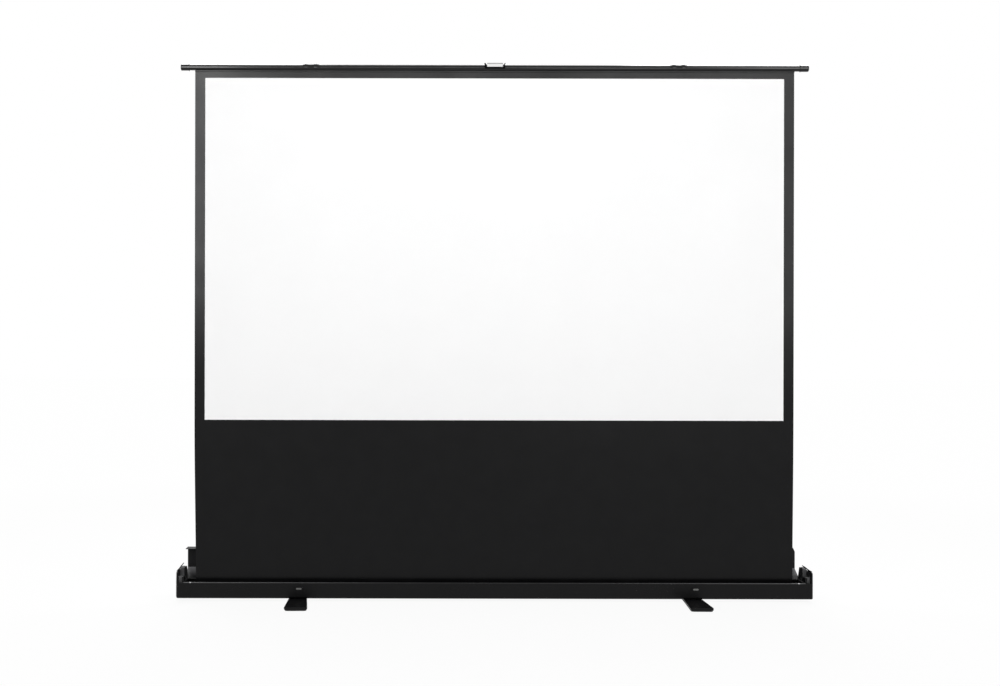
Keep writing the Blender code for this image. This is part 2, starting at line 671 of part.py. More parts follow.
def make_cradle(side, sign, looks):
    """The saddle in the pocket: a low horn in front of the stowed tube and a high one behind it."""
    seat = SLEEVE_RADIUS + CRADLE_SEAT_CLEARANCE
    bottom = POCKET_FLOOR + GAP
    front = TUBE_Y - seat - CRADLE_FRONT_DEPTH
    rear = TUBE_Y + seat + CRADLE_REAR_DEPTH
    front_top = STOWED_TUBE_Z + CRADLE_FRONT_RISE
    rear_top = STOWED_TUBE_Z + CRADLE_REAR_RISE
    front_round = CRADLE_FRONT_DEPTH / 2
    rear_round = CRADLE_REAR_DEPTH / 2
    outline = [(front, bottom), (rear, bottom)]
    outline += arc((rear - rear_round, rear_top - rear_round), rear_round, 0, 180, ARC_STEPS)
    outline += arc((TUBE_Y, STOWED_TUBE_Z), seat, 0, -180, 2 * ARC_STEPS)
    outline += arc((front + front_round, front_top - front_round), front_round, 0, 180, ARC_STEPS)
    prism(f"tube_cradle_{side}", outline, "x", sign * (POCKET_X + CRADLE_GAP),
          sign * (OUTER_WALL_X - CRADLE_GAP), looks["cradle"])


def make_end_flap(side, sign, looks):
    """The thin flap on the outer wall, leaning inwards from its pin."""
    lean = FLAP_LEAN[side]
    pivot = axis_point(f"axis_end_flap_{side}", (sign * FLAP_X, 0, FLAP_Z))
    barrel = arc((0, 0), FLAP_BARREL, 0, 360 * (1 - 1 / SMALL_STEPS), SMALL_STEPS - 1)
    flap = prism(f"end_flap_{side}", barrel, "y", FLAP_FRONT, FLAP_FRONT + FLAP_DEPTH, looks["cap"], pivot)
    run = Vector((-sign * math.cos(lean), math.sin(lean)))
    across = Vector((-run.y, run.x)) * FLAP_THICKNESS / 2
    reach = run * FLAP_LENGTH
    leaf_outline = [tuple(across), tuple(-across), tuple(reach - across), tuple(reach + across)]
    leaf = prism(f"join_flap_leaf_{side}", leaf_outline, "y", FLAP_FRONT, FLAP_FRONT + FLAP_DEPTH,
                 None, pivot)
    join(flap, leaf)
    bore = rod(f"cut_flap_bore_{side}", "y", (0, 0), FLAP_PIN_RADIUS + RUNNING, FLAP_FRONT - CUT_OVERRUN,
               FLAP_FRONT + FLAP_DEPTH + CUT_OVERRUN, PIN_STEPS, None, pivot)
    cut(flap, bore)
    rod(f"flap_pin_{side}", "y", (sign * FLAP_X, FLAP_Z), FLAP_PIN_RADIUS, FLAP_FRONT - GAP - FLAP_LUG,
        FLAP_FRONT + FLAP_DEPTH + GAP + FLAP_LUG, PIN_STEPS, looks["steel"])


def make_lid(looks):
    """The lid at rest, standing open. Its outline is drawn from the hinge axis."""
    pivot = axis_point("axis_lid", (0, HINGE_Y, HINGE_Z))
    neck_start, neck_end = neck_angles()
    slope = math.radians(neck_start)
    inner_y = LID_SLOPE_DEPTH - LID_WALL
    knee_inner = inner_y * math.tan(slope) + LID_WALL / math.cos(slope)
    outline = arc((0, 0), LID_BEAD_RADIUS, neck_end, 360 + neck_start, 2 * ARC_STEPS)
    outline += [(LID_SLOPE_DEPTH, LID_SLOPE_HEIGHT),
                (LID_SLOPE_DEPTH, LID_PANEL_TOP),
                (LID_SLOPE_DEPTH - LID_LIP, LID_PANEL_TOP),
                (LID_SLOPE_DEPTH - LID_LIP, LID_PANEL_TOP - LID_WALL),
                (inner_y, LID_PANEL_TOP - LID_WALL),
                (inner_y, knee_inner)]
    half = CAP_END - LID_SHORT_OF_CAP
    lid = prism("lid", outline, "x", -half, half, looks["case"], pivot)
    corner = [(half + CUT_OVERRUN, LID_PANEL_TOP - LID_CHAMFER_HEIGHT),
              (half + CUT_OVERRUN, LID_PANEL_TOP + CUT_OVERRUN),
              (half - LID_CHAMFER_WIDTH, LID_PANEL_TOP + CUT_OVERRUN),
              (half - LID_CHAMFER_WIDTH, LID_PANEL_TOP),
              (half, LID_PANEL_TOP - LID_CHAMFER_HEIGHT)]
    chamfer = prism("cut_lid_chamfer", corner, "y", inner_y - CUT_OVERRUN, LID_SLOPE_DEPTH + CUT_OVERRUN,
                    None, pivot)
    cut(lid, chamfer)
    end_of_lip = [(half - LID_CUT_BACK, LID_PANEL_TOP - 2 * LID_WALL),
                  (half + CUT_OVERRUN, LID_PANEL_TOP - 2 * LID_WALL),
                  (half + CUT_OVERRUN, LID_PANEL_TOP + CUT_OVERRUN),
                  (half - LID_CUT_BACK, LID_PANEL_TOP + CUT_OVERRUN)]
    lip_cut = prism("cut_lid_lip", end_of_lip, "y", LID_SLOPE_DEPTH - LID_LIP - CUT_OVERRUN, inner_y,
                    None, pivot)
    cut(lid, lip_cut)


def foot_outline(inset):
    """The foot seen from above: narrowest under the case, with round corners at both tips."""
    reach = FOOT_REACH - inset
    tip = FOOT_TIP_WIDTH / 2 - inset
    waist = FOOT_WAIST_WIDTH / 2 - inset
    inner = reach - FOOT_CORNER
    right_front = arc((tip - FOOT_CORNER, -inner), FOOT_CORNER, 270, 360, 3)
    right_rear = arc((tip - FOOT_CORNER, inner), FOOT_CORNER, 0, 90, 3)
    left_rear = arc((FOOT_CORNER - tip, inner), FOOT_CORNER, 90, 180, 3)
    left_front = arc((FOOT_CORNER - tip, -inner), FOOT_CORNER, 180, 270, 3)
    return right_front + [(waist, 0)] + right_rear + left_rear + [(-waist, 0)] + left_front


def make_foot(side, sign, looks):
    place = sign * FOOT_PIVOT_X[side]
    pivot = axis_point(f"axis_foot_{side}", (place, 0, 0), turn_z=-sign * FOOT_TOE_IN[side])
    foot = prism(f"foot_{side}", foot_outline(0), "z", FOOT_BOTTOM, FOOT_TOP, looks["cap"], pivot)
    soften(foot, FOOT_EDGE)
    shank = rod(f"cut_foot_shank_{side}", "z", (0, 0), BOLT_RADIUS + RUNNING, FOOT_BOTTOM - CUT_OVERRUN,
                FOOT_TOP + CUT_OVERRUN, SMALL_STEPS, None, pivot)
    head_top = FOOT_BOTTOM + BOLT_HEAD_COVER + BOLT_HEAD_HEIGHT
    sunk = rod(f"cut_foot_head_{side}", "z", (0, 0), BOLT_HEAD_RADIUS + RUNNING, FOOT_BOTTOM - CUT_OVERRUN,
               head_top + GAP, SMALL_STEPS, None, pivot)
    cut(foot, shank)
    cut(foot, sunk)
    sole = prism(f"foot_sole_{side}", foot_outline(SOLE_INSET), "z", 0, SOLE_THICKNESS,
                 looks["rubber"], pivot)
    relief = rod(f"cut_sole_relief_{side}", "z", (0, 0), BOLT_HEAD_RADIUS + RUNNING, -CUT_OVERRUN,
                 SOLE_THICKNESS + CUT_OVERRUN, SMALL_STEPS, None, pivot)
    cut(sole, relief)
    nut_bottom = CASE_FLOOR + GAP
    nut_top = nut_bottom + NUT_HEIGHT
    head_bottom = FOOT_BOTTOM + BOLT_HEAD_COVER
    bolt_top = nut_top + BOLT_PAST_NUT
    bolt_profile = [(0, head_bottom), (BOLT_HEAD_RADIUS, head_bottom), (BOLT_HEAD_RADIUS, head_top),
                    (BOLT_RADIUS, head_top), (BOLT_RADIUS, bolt_top), (0, bolt_top)]
    turned(f"foot_bolt_{side}", bolt_profile, "z", (place, 0), SMALL_STEPS, looks["steel"])
    nut = rod(f"foot_nut_{side}", "z", (place, 0), NUT_RADIUS, nut_bottom, nut_top,
              NUT_SIDES, looks["steel"])
    thread = rod(f"cut_nut_thread_{side}", "z", (place, 0), BOLT_RADIUS + GAP,
                 nut_bottom - CUT_OVERRUN, nut_top + CUT_OVERRUN, SMALL_STEPS, None)
    cut(nut, thread)


def make_button(side, sign, looks):
    """A push button in a housing that passes through the front wall, with its spring behind it."""
    centre = (sign * BUTTON_X[side], BUTTON_Z)
    well_width = BUTTON_WIDTH + 2 * RUNNING
    well_height = BUTTON_HEIGHT + 2 * RUNNING
    front = CASE_FRONT - GAP - BEZEL_THICKNESS
    button_rear = front - BUTTON_PROUD / 2 + BUTTON_DEPTH
    floor = button_rear + GAP + BUTTON_SPRING_LENGTH + GAP
    housing = prism(f"button_housing_{side}", pill(centre, BEZEL_WIDTH, BEZEL_HEIGHT), "y",
                    front, CASE_FRONT - GAP, looks["cap"])
    body = prism(f"join_button_body_{side}",
                 pill(centre, well_width + 2 * BUTTON_HOUSING_WALL, well_height + 2 * BUTTON_HOUSING_WALL),
                 "y", front + BEZEL_THICKNESS / 2, floor + BUTTON_HOUSING_WALL, None)
    join(housing, body)
    well = prism(f"cut_button_well_{side}", pill(centre, well_width, well_height), "y",
                 front - CUT_OVERRUN, floor, None)
    cut(housing, well)
    pivot = axis_point(f"axis_button_{side}", (centre[0], 0, centre[1]))
    prism(f"push_button_{side}", pill((0, 0), BUTTON_WIDTH, BUTTON_HEIGHT), "y",
          front - BUTTON_PROUD / 2, button_rear, looks["button"], pivot)
    spring_start = button_rear + GAP
    coil(f"button_spring_{side}", "y", (0, 0), BUTTON_SPRING_RADIUS, spring_start,
         spring_start + BUTTON_SPRING_LENGTH, BUTTON_SPRING_WIRE, BUTTON_SPRING_CURLS, looks["steel"], pivot)


def turns_outline():
    """The fabric left on the roller: one layer whose outside steps out by one thickness."""
    count = 2 * ROUND_STEPS
    inside = arc((ROLLER_Y, ROLLER_Z), TURNS_INNER, 0, -360 * (1 - 1 / count), count - 1)
    outside = []
    for step in range(count):
        angle = 2 * math.pi * step / count
        radius = TURNS_OUTER - TURNS_STEP * step / count
        outside.append((ROLLER_Y + radius * math.cos(angle), ROLLER_Z + radius * math.sin(angle)))
    return outside, inside


def make_turns(looks):
    outside, inside = turns_outline()
    turns = prism("fabric_turns", outside, "x", -FABRIC_HALF, FABRIC_HALF, looks["backing"])
    bore = prism("cut_turns_bore", inside, "x", -FABRIC_HALF - CUT_OVERRUN, FABRIC_HALF + CUT_OVERRUN, None)
    cut(turns, bore)


def make_roller(looks):
    centre = (ROLLER_Y, ROLLER_Z)
    bore = ROLLER_RADIUS - ROLLER_WALL
    ring_tube("roller_tube", "x", centre, bore, ROLLER_RADIUS, -ROLLER_HALF, ROLLER_HALF,
              ROUND_STEPS, looks["roller"])
    make_turns(looks)
    plug = bore - GAP
    flange_start = ROLLER_HALF + GAP
    flange_end = flange_start + PLUG_FLANGE
    bracket_start = flange_end + BRACKET_FROM_PLUG
    bracket_end = bracket_start + BRACKET_THICKNESS
    pin_end = bracket_end + ROLLER_PIN_TAIL
    inner_end = ROLLER_HALF - PLUG_LENGTH
    right = [(0, inner_end), (plug, inner_end), (plug, flange_start), (ROLLER_RADIUS, flange_start),
             (ROLLER_RADIUS, flange_end), (ROLLER_PIN_RADIUS, flange_end), (ROLLER_PIN_RADIUS, pin_end),
             (0, pin_end)]
    turned("roller_plug_right", right, "x", centre, ROUND_STEPS, looks["cap"])
    hole = ARBOR_RADIUS + RUNNING
    left = [(hole, -inner_end), (plug, -inner_end), (plug, -flange_start), (ROLLER_RADIUS, -flange_start),
            (ROLLER_RADIUS, -flange_end), (hole, -flange_end)]
    turned("roller_plug_left", left, "x", centre, ROUND_STEPS, looks["cap"])
    arbor_end = -pin_end + ARBOR_LENGTH
    collar_start = arbor_end - ARBOR_COLLAR_LENGTH
    arbor = [(0, -pin_end), (ARBOR_RADIUS, -pin_end), (ARBOR_RADIUS, collar_start),
             (ARBOR_COLLAR_RADIUS, collar_start), (ARBOR_COLLAR_RADIUS, arbor_end), (0, arbor_end)]
    turned("spring_arbor", arbor, "x", centre, SMALL_STEPS, looks["steel"])
    coil("winding_spring", "x", centre, WINDING_RADIUS, -inner_end + GAP, collar_start - GAP,
         WINDING_WIRE, WINDING_CURLS, looks["steel"])
    for side, sign in SIDES.items():
        low = (ROLLER_Y - BRACKET_HALF_DEPTH, CASE_FLOOR + GAP)
        high = (ROLLER_Y + BRACKET_HALF_DEPTH, ROLLER_Z + BRACKET_TOP_MARGIN)
        plate = prism(f"roller_bracket_{side}", rounded_box(low, high, BRACKET_TOP_MARGIN / 2), "x",
                      sign * bracket_start, sign * bracket_end, looks["arm"])
        passes = ARBOR_RADIUS if side == "left" else ROLLER_PIN_RADIUS
        bracket_bore = rod(f"cut_bracket_bore_{side}", "x", centre, passes + RUNNING,
                           sign * (bracket_start - CUT_OVERRUN), sign * (bracket_end + CUT_OVERRUN),
                           SMALL_STEPS, None)
        cut(plate, bracket_bore)


def make_sheet(looks):
    """The black sheet that hangs from the batten to the roller, and the white face in front of it."""
    slot_top = BATTEN_BOTTOM + BATTEN_SLOT_DEPTH - GAP
    backing = [(-FABRIC_HALF, ROLLER_Z), (FABRIC_HALF, ROLLER_Z), (FABRIC_HALF, slot_top),
               (-FABRIC_HALF, slot_top)]
    prism("screen_backing", backing, "y", BACKING_FRONT, BACKING_REAR, looks["backing"])
    half = VIEW_WIDTH / 2
    white = [(-half, WHITE_ABOVE_FLOOR), (half, WHITE_ABOVE_FLOOR), (half, WHITE_TOP), (-half, WHITE_TOP)]
    white_rear = BACKING_FRONT - GAP
    prism("viewing_surface", white, "y", white_rear - VIEWING_THICKNESS, white_rear, looks["viewing"])


def make_batten(looks, parent):
    """The batten under the tube, slotted from below for the top edge of the sheet."""
    low = BATTEN_BOTTOM - TUBE_Z
    top = low + BATTEN_HEIGHT
    half = BATTEN_DEPTH / 2
    slot_half = BACKING_THICKNESS / 2 + BATTEN_SLOT_CLEARANCE
    slot_top = low + BATTEN_SLOT_DEPTH
    outline = [(-half, low), (-slot_half, low), (-slot_half, slot_top), (slot_half, slot_top),
               (slot_half, low), (half, low), (half, top), (-half, top)]
    prism("fabric_batten", outline, "x", -FABRIC_HALF, FABRIC_HALF, looks["tube"], parent)


def make_tube_cap(side, sign, looks, parent):
    inner = TUBE_RADIUS + GAP
    dome = SLEEVE_END - SLEEVE_DOME
    wall = SLEEVE_END - SLEEVE_END_WALL
    profile = [(inner, COLLAR_X), (COLLAR_RADIUS, COLLAR_X), (COLLAR_RADIUS, SLEEVE_X),
               (SLEEVE_RADIUS, SLEEVE_X), (SLEEVE_RADIUS, dome)]
    for angle in (30, 60):
        turn = math.radians(angle)
        profile.append((SLEEVE_RADIUS - SLEEVE_DOME * (1 - math.cos(turn)),
                        dome + SLEEVE_DOME * math.sin(turn)))
    profile += [(SLEEVE_RADIUS - SLEEVE_DOME, SLEEVE_END), (0, SLEEVE_END)]
    profile = [(0, wall), (inner, wall)] + profile
    turned(f"tube_cap_{side}", [(radius, sign * along) for radius, along in profile], "x", (0, 0),
           ROUND_STEPS, looks["cap"], parent)


def make_handle(looks, top_bar, handle):
    """The saddle with its two flared ears, the pin through them and the grip plate between them."""
    inner = TUBE_RADIUS + GAP
    outer = inner + SADDLE_THICKNESS
    saddle = prism("handle_bracket", part_ring(inner, outer, 70, 200), "x", -SADDLE_HALF, SADDLE_HALF,
                   looks["tube"], top_bar)
    ear_start = GRIP_WIDTH / 2 + 2 * GAP
    front = -GRIP_FORWARD - EAR_FRONT
    for side, sign in SIDES.items():
        shape = bmesh.new()
        rings = []
        for level, flare in ((-EAR_DROP, 0), (GRIP_PIN_RISE, 0), (EAR_RISE, EAR_FLARE)):
            near = sign * (ear_start + flare)
            far = sign * (ear_start + EAR_THICKNESS + flare)
            rear = -inner * math.cos(math.asin(min(level, inner * math.sin(math.radians(60))) / inner)) - GAP
            rings.append([shape.verts.new((near, front, level)), shape.verts.new((far, front, level)),
                          shape.verts.new((far, rear, level)), shape.verts.new((near, rear, level))])
        for low, high in zip(rings, rings[1:]):
            for i in range(4):
                j = (i + 1) % 4
                shape.faces.new((low[i], low[j], high[j], high[i]))
        shape.faces.new(rings[0])
        shape.faces.new(reversed(rings[-1]))
        join(saddle, from_bmesh(f"join_ear_{side}", shape, None, top_bar))
    pin_end = ear_start + EAR_THICKNESS
    hole = rod("cut_handle_pin", "x", (-GRIP_FORWARD, GRIP_PIN_RISE), HANDLE_PIN_RADIUS + GAP,
               -pin_end - CUT_OVERRUN, pin_end + CUT_OVERRUN, SMALL_STEPS, None, top_bar)
    cut(saddle, hole)
    rod("handle_pin", "x", (-GRIP_FORWARD, GRIP_PIN_RISE), HANDLE_PIN_RADIUS, -pin_end, pin_end,
        SMALL_STEPS, looks["steel"], top_bar)
    half = GRIP_THICKNESS / 2
    outline = arc((0, 0), half, 180, 360, 4)
    outline += [(half, GRIP_HEIGHT - GRIP_BELOW_PIN - half / 2), (0, GRIP_HEIGHT - GRIP_BELOW_PIN),
                (-half, GRIP_HEIGHT - GRIP_BELOW_PIN - half / 2)]
    grip = prism("handle_grip", outline, "x", -GRIP_WIDTH / 2, GRIP_WIDTH / 2, looks["grip"], handle)
    bore = rod("cut_grip_bore", "x", (0, 0), HANDLE_PIN_RADIUS + RUNNING, -pin_end, pin_end,
               SMALL_STEPS, None, handle)
    cut(grip, bore)


def make_clamp(side, sign, looks, parent):
    """The clamp that hugs the tube and carries an upper arm on its rear plate."""
    x = sign * ARM_PIVOT_X
    inner = TUBE_RADIUS + GAP
    plate_front = PLATE_FRONT - TUBE_Y
    plate_rear = PLATE_REAR - TUBE_Y
    saddle_outer = inner + CLAMP_SADDLE
    name = f"arm_clamp_{side}"
    clamp = prism(name, part_ring(inner, saddle_outer, -30, 180), "x", x - CLAMP_HALF, x + CLAMP_HALF,
                  looks["tube"], parent)
    band_outer = inner + CLAMP_BAND
    band_outline = part_ring(inner, band_outer, -40, 195)
    for end, shift in (("near", -CLAMP_BAND_OFFSET), ("far", CLAMP_BAND_OFFSET)):
        middle = x + shift
        band = prism(f"join_band_{end}_{side}", band_outline, "x", middle - CLAMP_BAND_WIDTH / 2,
                     middle + CLAMP_BAND_WIDTH / 2, None, parent)
        join(clamp, band)
    plate = prism(f"join_plate_{side}",
                  rounded_box((plate_front, -band_outer * math.cos(math.radians(30))),
                              (plate_rear, band_outer * math.cos(math.radians(30))), GAP, 1),
                  "x", x - CLAMP_HALF, x + CLAMP_HALF, None, parent)
    join(clamp, plate)
    if side == "left":
        boss = rod("join_boss_left", "y", (x, 0), CLAMP_BOSS_RADIUS, plate_front + CLAMP_PLATE / 2,
                   LEFT_UPPER_Y - GAP - TUBE_Y, SMALL_STEPS, None, parent)
        join(clamp, boss)
    arm_front = RIGHT_UPPER_Y if side == "right" else LEFT_UPPER_Y
    tail = plate_front + GAP
    head = arm_front - TUBE_Y + ARM_DEPTH + GAP
    bore = rod(f"cut_clamp_bore_{side}", "y", (x, 0), ARM_PIN_RADIUS + GAP, plate_front - GAP,
               head + CUT_OVERRUN, SMALL_STEPS, None, parent)
    cut(clamp, bore)
    headed_pin(f"top_pin_{side}", (x, 0), ARM_PIN_RADIUS, ARM_PIN_HEAD_RADIUS, head + ARM_PIN_HEAD,
               head, tail, looks["steel"], parent)


def arm_bar(name, front, look, parent, base_hole, tip_hole):
    """A round-ended channel from its pivot at the origin to its pivot one arm length along +X."""
    radius = ARM_HEIGHT / 2
    bar = prism(name, pill((ARM_LENGTH / 2, 0), ARM_LENGTH + ARM_HEIGHT, ARM_HEIGHT), "y",
                front, front + ARM_DEPTH, look, parent)
    pocket_low = (ARM_SOLID_END, ARM_WALL - radius)
    pocket_high = (ARM_LENGTH - ARM_SOLID_END, radius - ARM_WALL)
    pocket = prism(f"cut_pocket_{name}", rounded_box(pocket_low, pocket_high, ARM_WALL), "y",
                   front - CUT_OVERRUN, front + ARM_DEPTH - ARM_WALL, None, parent)
    cut(bar, pocket)
    for end, place, hole in (("base", 0, base_hole), ("tip", ARM_LENGTH, tip_hole)):
        bore = rod(f"cut_{end}_bore_{name}", "y", (place, 0), hole, front - CUT_OVERRUN,
                   front + ARM_DEPTH + CUT_OVERRUN, SMALL_STEPS, None, parent)
        cut(bar, bore)
    return bar


def make_base_bracket(side, sign, looks, lower_front):
    """A channel on the case floor whose two ears hold the base pin."""
    x = sign * ARM_PIVOT_X
    inner_front = lower_front - GAP
    inner_rear = lower_front + ARM_DEPTH + GAP
    bottom = CASE_FLOOR + GAP
    top = BASE_PIVOT_Z + BASE_BRACKET_ABOVE_PIN
    outline = [(inner_front - EAR_PLATE, bottom), (inner_rear + EAR_PLATE, bottom),
               (inner_rear + EAR_PLATE, top), (inner_rear, top), (inner_rear, bottom + EAR_PLATE),
               (inner_front, bottom + EAR_PLATE), (inner_front, top), (inner_front - EAR_PLATE, top)]
    bracket = prism(f"arm_base_bracket_{side}", outline, "x", x - BASE_BRACKET_HALF, x + BASE_BRACKET_HALF,
                    looks["arm"])
    bore = rod(f"cut_base_bore_{side}", "y", (x, BASE_PIVOT_Z), BASE_PIN_RADIUS + GAP,
               inner_front - EAR_PLATE - CUT_OVERRUN, inner_rear + EAR_PLATE + CUT_OVERRUN,
               SMALL_STEPS, None)
    cut(bracket, bore)
    for end in (-1, 1):
        edge = x + end * BASE_BRACKET_HALF
        corner = [(edge + end * CUT_OVERRUN, top + CUT_OVERRUN),
                  (edge - end * (BASE_BRACKET_CHAMFER + CUT_OVERRUN), top + CUT_OVERRUN),
                  (edge + end * CUT_OVERRUN, top - BASE_BRACKET_CHAMFER - CUT_OVERRUN)]
        word = "inner" if end * sign < 0 else "outer"
        chamfer = prism(f"cut_base_corner_{word}_{side}", corner, "y", inner_front - EAR_PLATE - CUT_OVERRUN,
                        inner_rear + EAR_PLATE + CUT_OVERRUN, None)
        cut(bracket, chamfer)


def make_arm(side, sign, looks):
    """One folding arm: base pin, lower arm, elbow pin and upper arm, with its lifting spring."""
    lower_front = RIGHT_LOWER_Y if side == "right" else LEFT_LOWER_Y
    upper_front = RIGHT_UPPER_Y if side == "right" else LEFT_UPPER_Y
    # The right arm leans left from its base, and its upper half leans back to the right.
    inwards = math.pi + ARM_RAISED
    outwards = -ARM_RAISED
    lower_turn = inwards if side == "right" else outwards
    upper_turn = outwards if side == "right" else inwards
    base = axis_point(f"axis_lower_arm_{side}", (sign * ARM_PIVOT_X, 0, BASE_PIVOT_Z), turn_y=lower_turn)
    elbow = axis_point(f"axis_upper_arm_{side}", (ARM_LENGTH, 0, 0), parent=base,
                       turn_y=upper_turn - lower_turn)
    elbow_hole = ARM_PIN_RADIUS + GAP
    arm_bar(f"lower_arm_{side}", lower_front, looks["arm"], base, BASE_PIN_RADIUS + GAP, elbow_hole)
    arm_bar(f"upper_arm_{side}", upper_front, looks["arm"], elbow, elbow_hole, elbow_hole)
    make_base_bracket(side, sign, looks, lower_front)
    ear_front = lower_front - GAP - EAR_PLATE
    head_start = ear_front - GAP - SPRING_LENGTH - GAP
    tail = lower_front + ARM_DEPTH + GAP + EAR_PLATE + BASE_PIN_TAIL
    headed_pin(f"base_pin_{side}", (0, 0), BASE_PIN_RADIUS, BASE_PIN_HEAD_RADIUS, head_start - ARM_PIN_HEAD,
               head_start, tail, looks["steel"], base)
    coil(f"arm_spring_{side}", "y", (0, 0), SPRING_RADIUS, head_start + GAP, ear_front - GAP,
         SPRING_WIRE, SPRING_CURLS, looks["steel"], base)
    if side == "right":
        head = upper_front - GAP
        headed_pin("elbow_pin_right", (ARM_LENGTH, 0), ARM_PIN_RADIUS, ARM_PIN_HEAD_RADIUS,
                   head - ARM_PIN_HEAD, head, lower_front + ARM_DEPTH - PIN_RECESS, looks["steel"], base)
    else:
        head = lower_front + ARM_DEPTH + GAP
        headed_pin("elbow_pin_left", (ARM_LENGTH, 0), ARM_PIN_RADIUS, ARM_PIN_HEAD_RADIUS,
                   head + ARM_PIN_HEAD, head, upper_front + PIN_RECESS, looks["steel"], base)


def make_top_bar(looks):
    """The tube at full height, with the batten, end caps, handle and clamps that move with it."""
    top_bar = axis_point("axis_top_bar", (0, TUBE_Y, TUBE_Z))
    ring_tube("top_tube", "x", (0, 0), TUBE_RADIUS - TUBE_WALL, TUBE_RADIUS, -TUBE_HALF, TUBE_HALF,
              ROUND_STEPS, looks["tube"], top_bar)
    make_batten(looks, top_bar)
    handle = axis_point("axis_handle", (0, -GRIP_FORWARD, GRIP_PIN_RISE), parent=top_bar)
    make_handle(looks, top_bar, handle)
    for side, sign in SIDES.items():
        make_tube_cap(side, sign, looks, top_bar)
        make_clamp(side, sign, looks, top_bar)


def main():
    clear_scene()
    looks = make_finishes()
    make_case(looks)
    make_lid(looks)
    make_roller(looks)
    make_sheet(looks)
    make_top_bar(looks)
    for side, sign in SIDES.items():
        make_end_cap(side, sign, looks)
        make_cradle(side, sign, looks)
        make_end_flap(side, sign, looks)
        make_foot(side, sign, looks)
        make_button(side, sign, looks)
        make_arm(side, sign, looks)
    stowed = math.asin((STOWED_TUBE_Z - BASE_PIVOT_Z) / (2 * ARM_LENGTH))
    print(f"arm length {ARM_LENGTH:.5f} m, fold {math.degrees(ARM_RAISED - stowed):.3f} degrees")
    print(f"tube at y {TUBE_Y:.5f}, z {TUBE_Z:.5f}; base pivots z {BASE_PIVOT_Z:.5f}")


main()
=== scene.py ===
"""Finishes, cloth, wound pieces, light and camera for the pull-up projection screen.

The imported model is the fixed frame. +X is the viewer's right, -Y is towards the viewer and +Z
is up, in metres, with the origin on the floor under the middle of the base case.
"""

from __future__ import annotations

import json
import logging
import math
from dataclasses import dataclass, field
from enum import Enum

import bmesh
import bpy
from mathutils import Matrix, Vector

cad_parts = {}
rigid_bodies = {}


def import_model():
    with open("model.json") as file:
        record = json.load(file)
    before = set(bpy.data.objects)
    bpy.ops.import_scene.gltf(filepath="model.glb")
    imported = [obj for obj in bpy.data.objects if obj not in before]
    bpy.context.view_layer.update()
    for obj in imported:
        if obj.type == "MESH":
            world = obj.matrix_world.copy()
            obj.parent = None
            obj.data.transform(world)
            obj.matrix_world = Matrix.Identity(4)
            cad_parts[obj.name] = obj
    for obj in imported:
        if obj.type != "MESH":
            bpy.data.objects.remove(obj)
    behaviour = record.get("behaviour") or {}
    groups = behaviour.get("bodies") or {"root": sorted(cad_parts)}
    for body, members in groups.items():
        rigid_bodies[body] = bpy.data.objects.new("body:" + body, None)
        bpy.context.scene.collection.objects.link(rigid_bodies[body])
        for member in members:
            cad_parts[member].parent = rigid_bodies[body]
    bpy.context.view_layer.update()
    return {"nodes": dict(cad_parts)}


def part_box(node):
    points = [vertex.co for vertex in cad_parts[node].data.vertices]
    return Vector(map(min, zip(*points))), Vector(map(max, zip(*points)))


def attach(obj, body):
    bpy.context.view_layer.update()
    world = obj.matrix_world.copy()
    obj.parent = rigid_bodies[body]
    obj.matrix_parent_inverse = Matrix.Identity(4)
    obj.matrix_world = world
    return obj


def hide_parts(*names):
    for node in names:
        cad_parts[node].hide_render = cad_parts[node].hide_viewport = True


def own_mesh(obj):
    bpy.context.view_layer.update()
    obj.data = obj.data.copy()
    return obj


LOG = logging.getLogger("projection_screen")
MM = 0.001
# Edges of the cloth and of the wound pieces that turn more than this stay crisp.
SHARP = math.radians(40)


def linear(hex_colour: str) -> tuple[float, float, float, float]:
    """Turns an sRGB hex colour into the linear values that a shader takes.

    Args:
        hex_colour: Six hex digits after a hash sign.

    Returns:
        Linear red, green and blue, and an alpha of one.
    """
    digits = hex_colour.lstrip("#")
    channels = [int(digits[i:i + 2], 16) / 255 for i in (0, 2, 4)]
    out = [c / 12.92 if c <= 0.04045 else ((c + 0.055) / 1.055) ** 2.4 for c in channels]
    return (out[0], out[1], out[2], 1.0)


def add_node(tree: bpy.types.NodeTree, kind: str, settings: dict | None = None,
             values: dict | None = None, links: dict | None = None) -> bpy.types.Node:
    """Adds one node with its settings, input values and incoming links.

    Args:
        tree: The shader or geometry tree.
        kind: Blender's node type.
        settings: Attributes of the node.
        values: Input defaults by socket name or number.
        links: Source sockets by the name or number of the input they feed.

    Returns:
        The new node.
    """
    node = tree.nodes.new(kind)
    for key, value in (settings or {}).items():
        setattr(node, key, value)
    for key, value in (values or {}).items():
        node.inputs[key].default_value = value
    for key, source in (links or {}).items():
        tree.links.new(source, node.inputs[key])
    return node


def seen_rays(tree: bpy.types.NodeTree) -> bpy.types.NodeSocket:
    """Returns one for camera, glossy and transmission rays, and nothing for the others.

    Args:
        tree: The shader tree.

    Returns:
        The socket with that value.
    """
    rays = add_node(tree, "ShaderNodeLightPath")
    eye = add_node(tree, "ShaderNodeMath", settings={"operation": "MAXIMUM"},
                   links={0: rays.outputs["Is Camera Ray"], 1: rays.outputs["Is Glossy Ray"]})
    seen = add_node(tree, "ShaderNodeMath", settings={"operation": "MAXIMUM"},
                    links={0: eye.outputs[0], 1: rays.outputs["Is Transmission Ray"]})
    return seen.outputs[0]


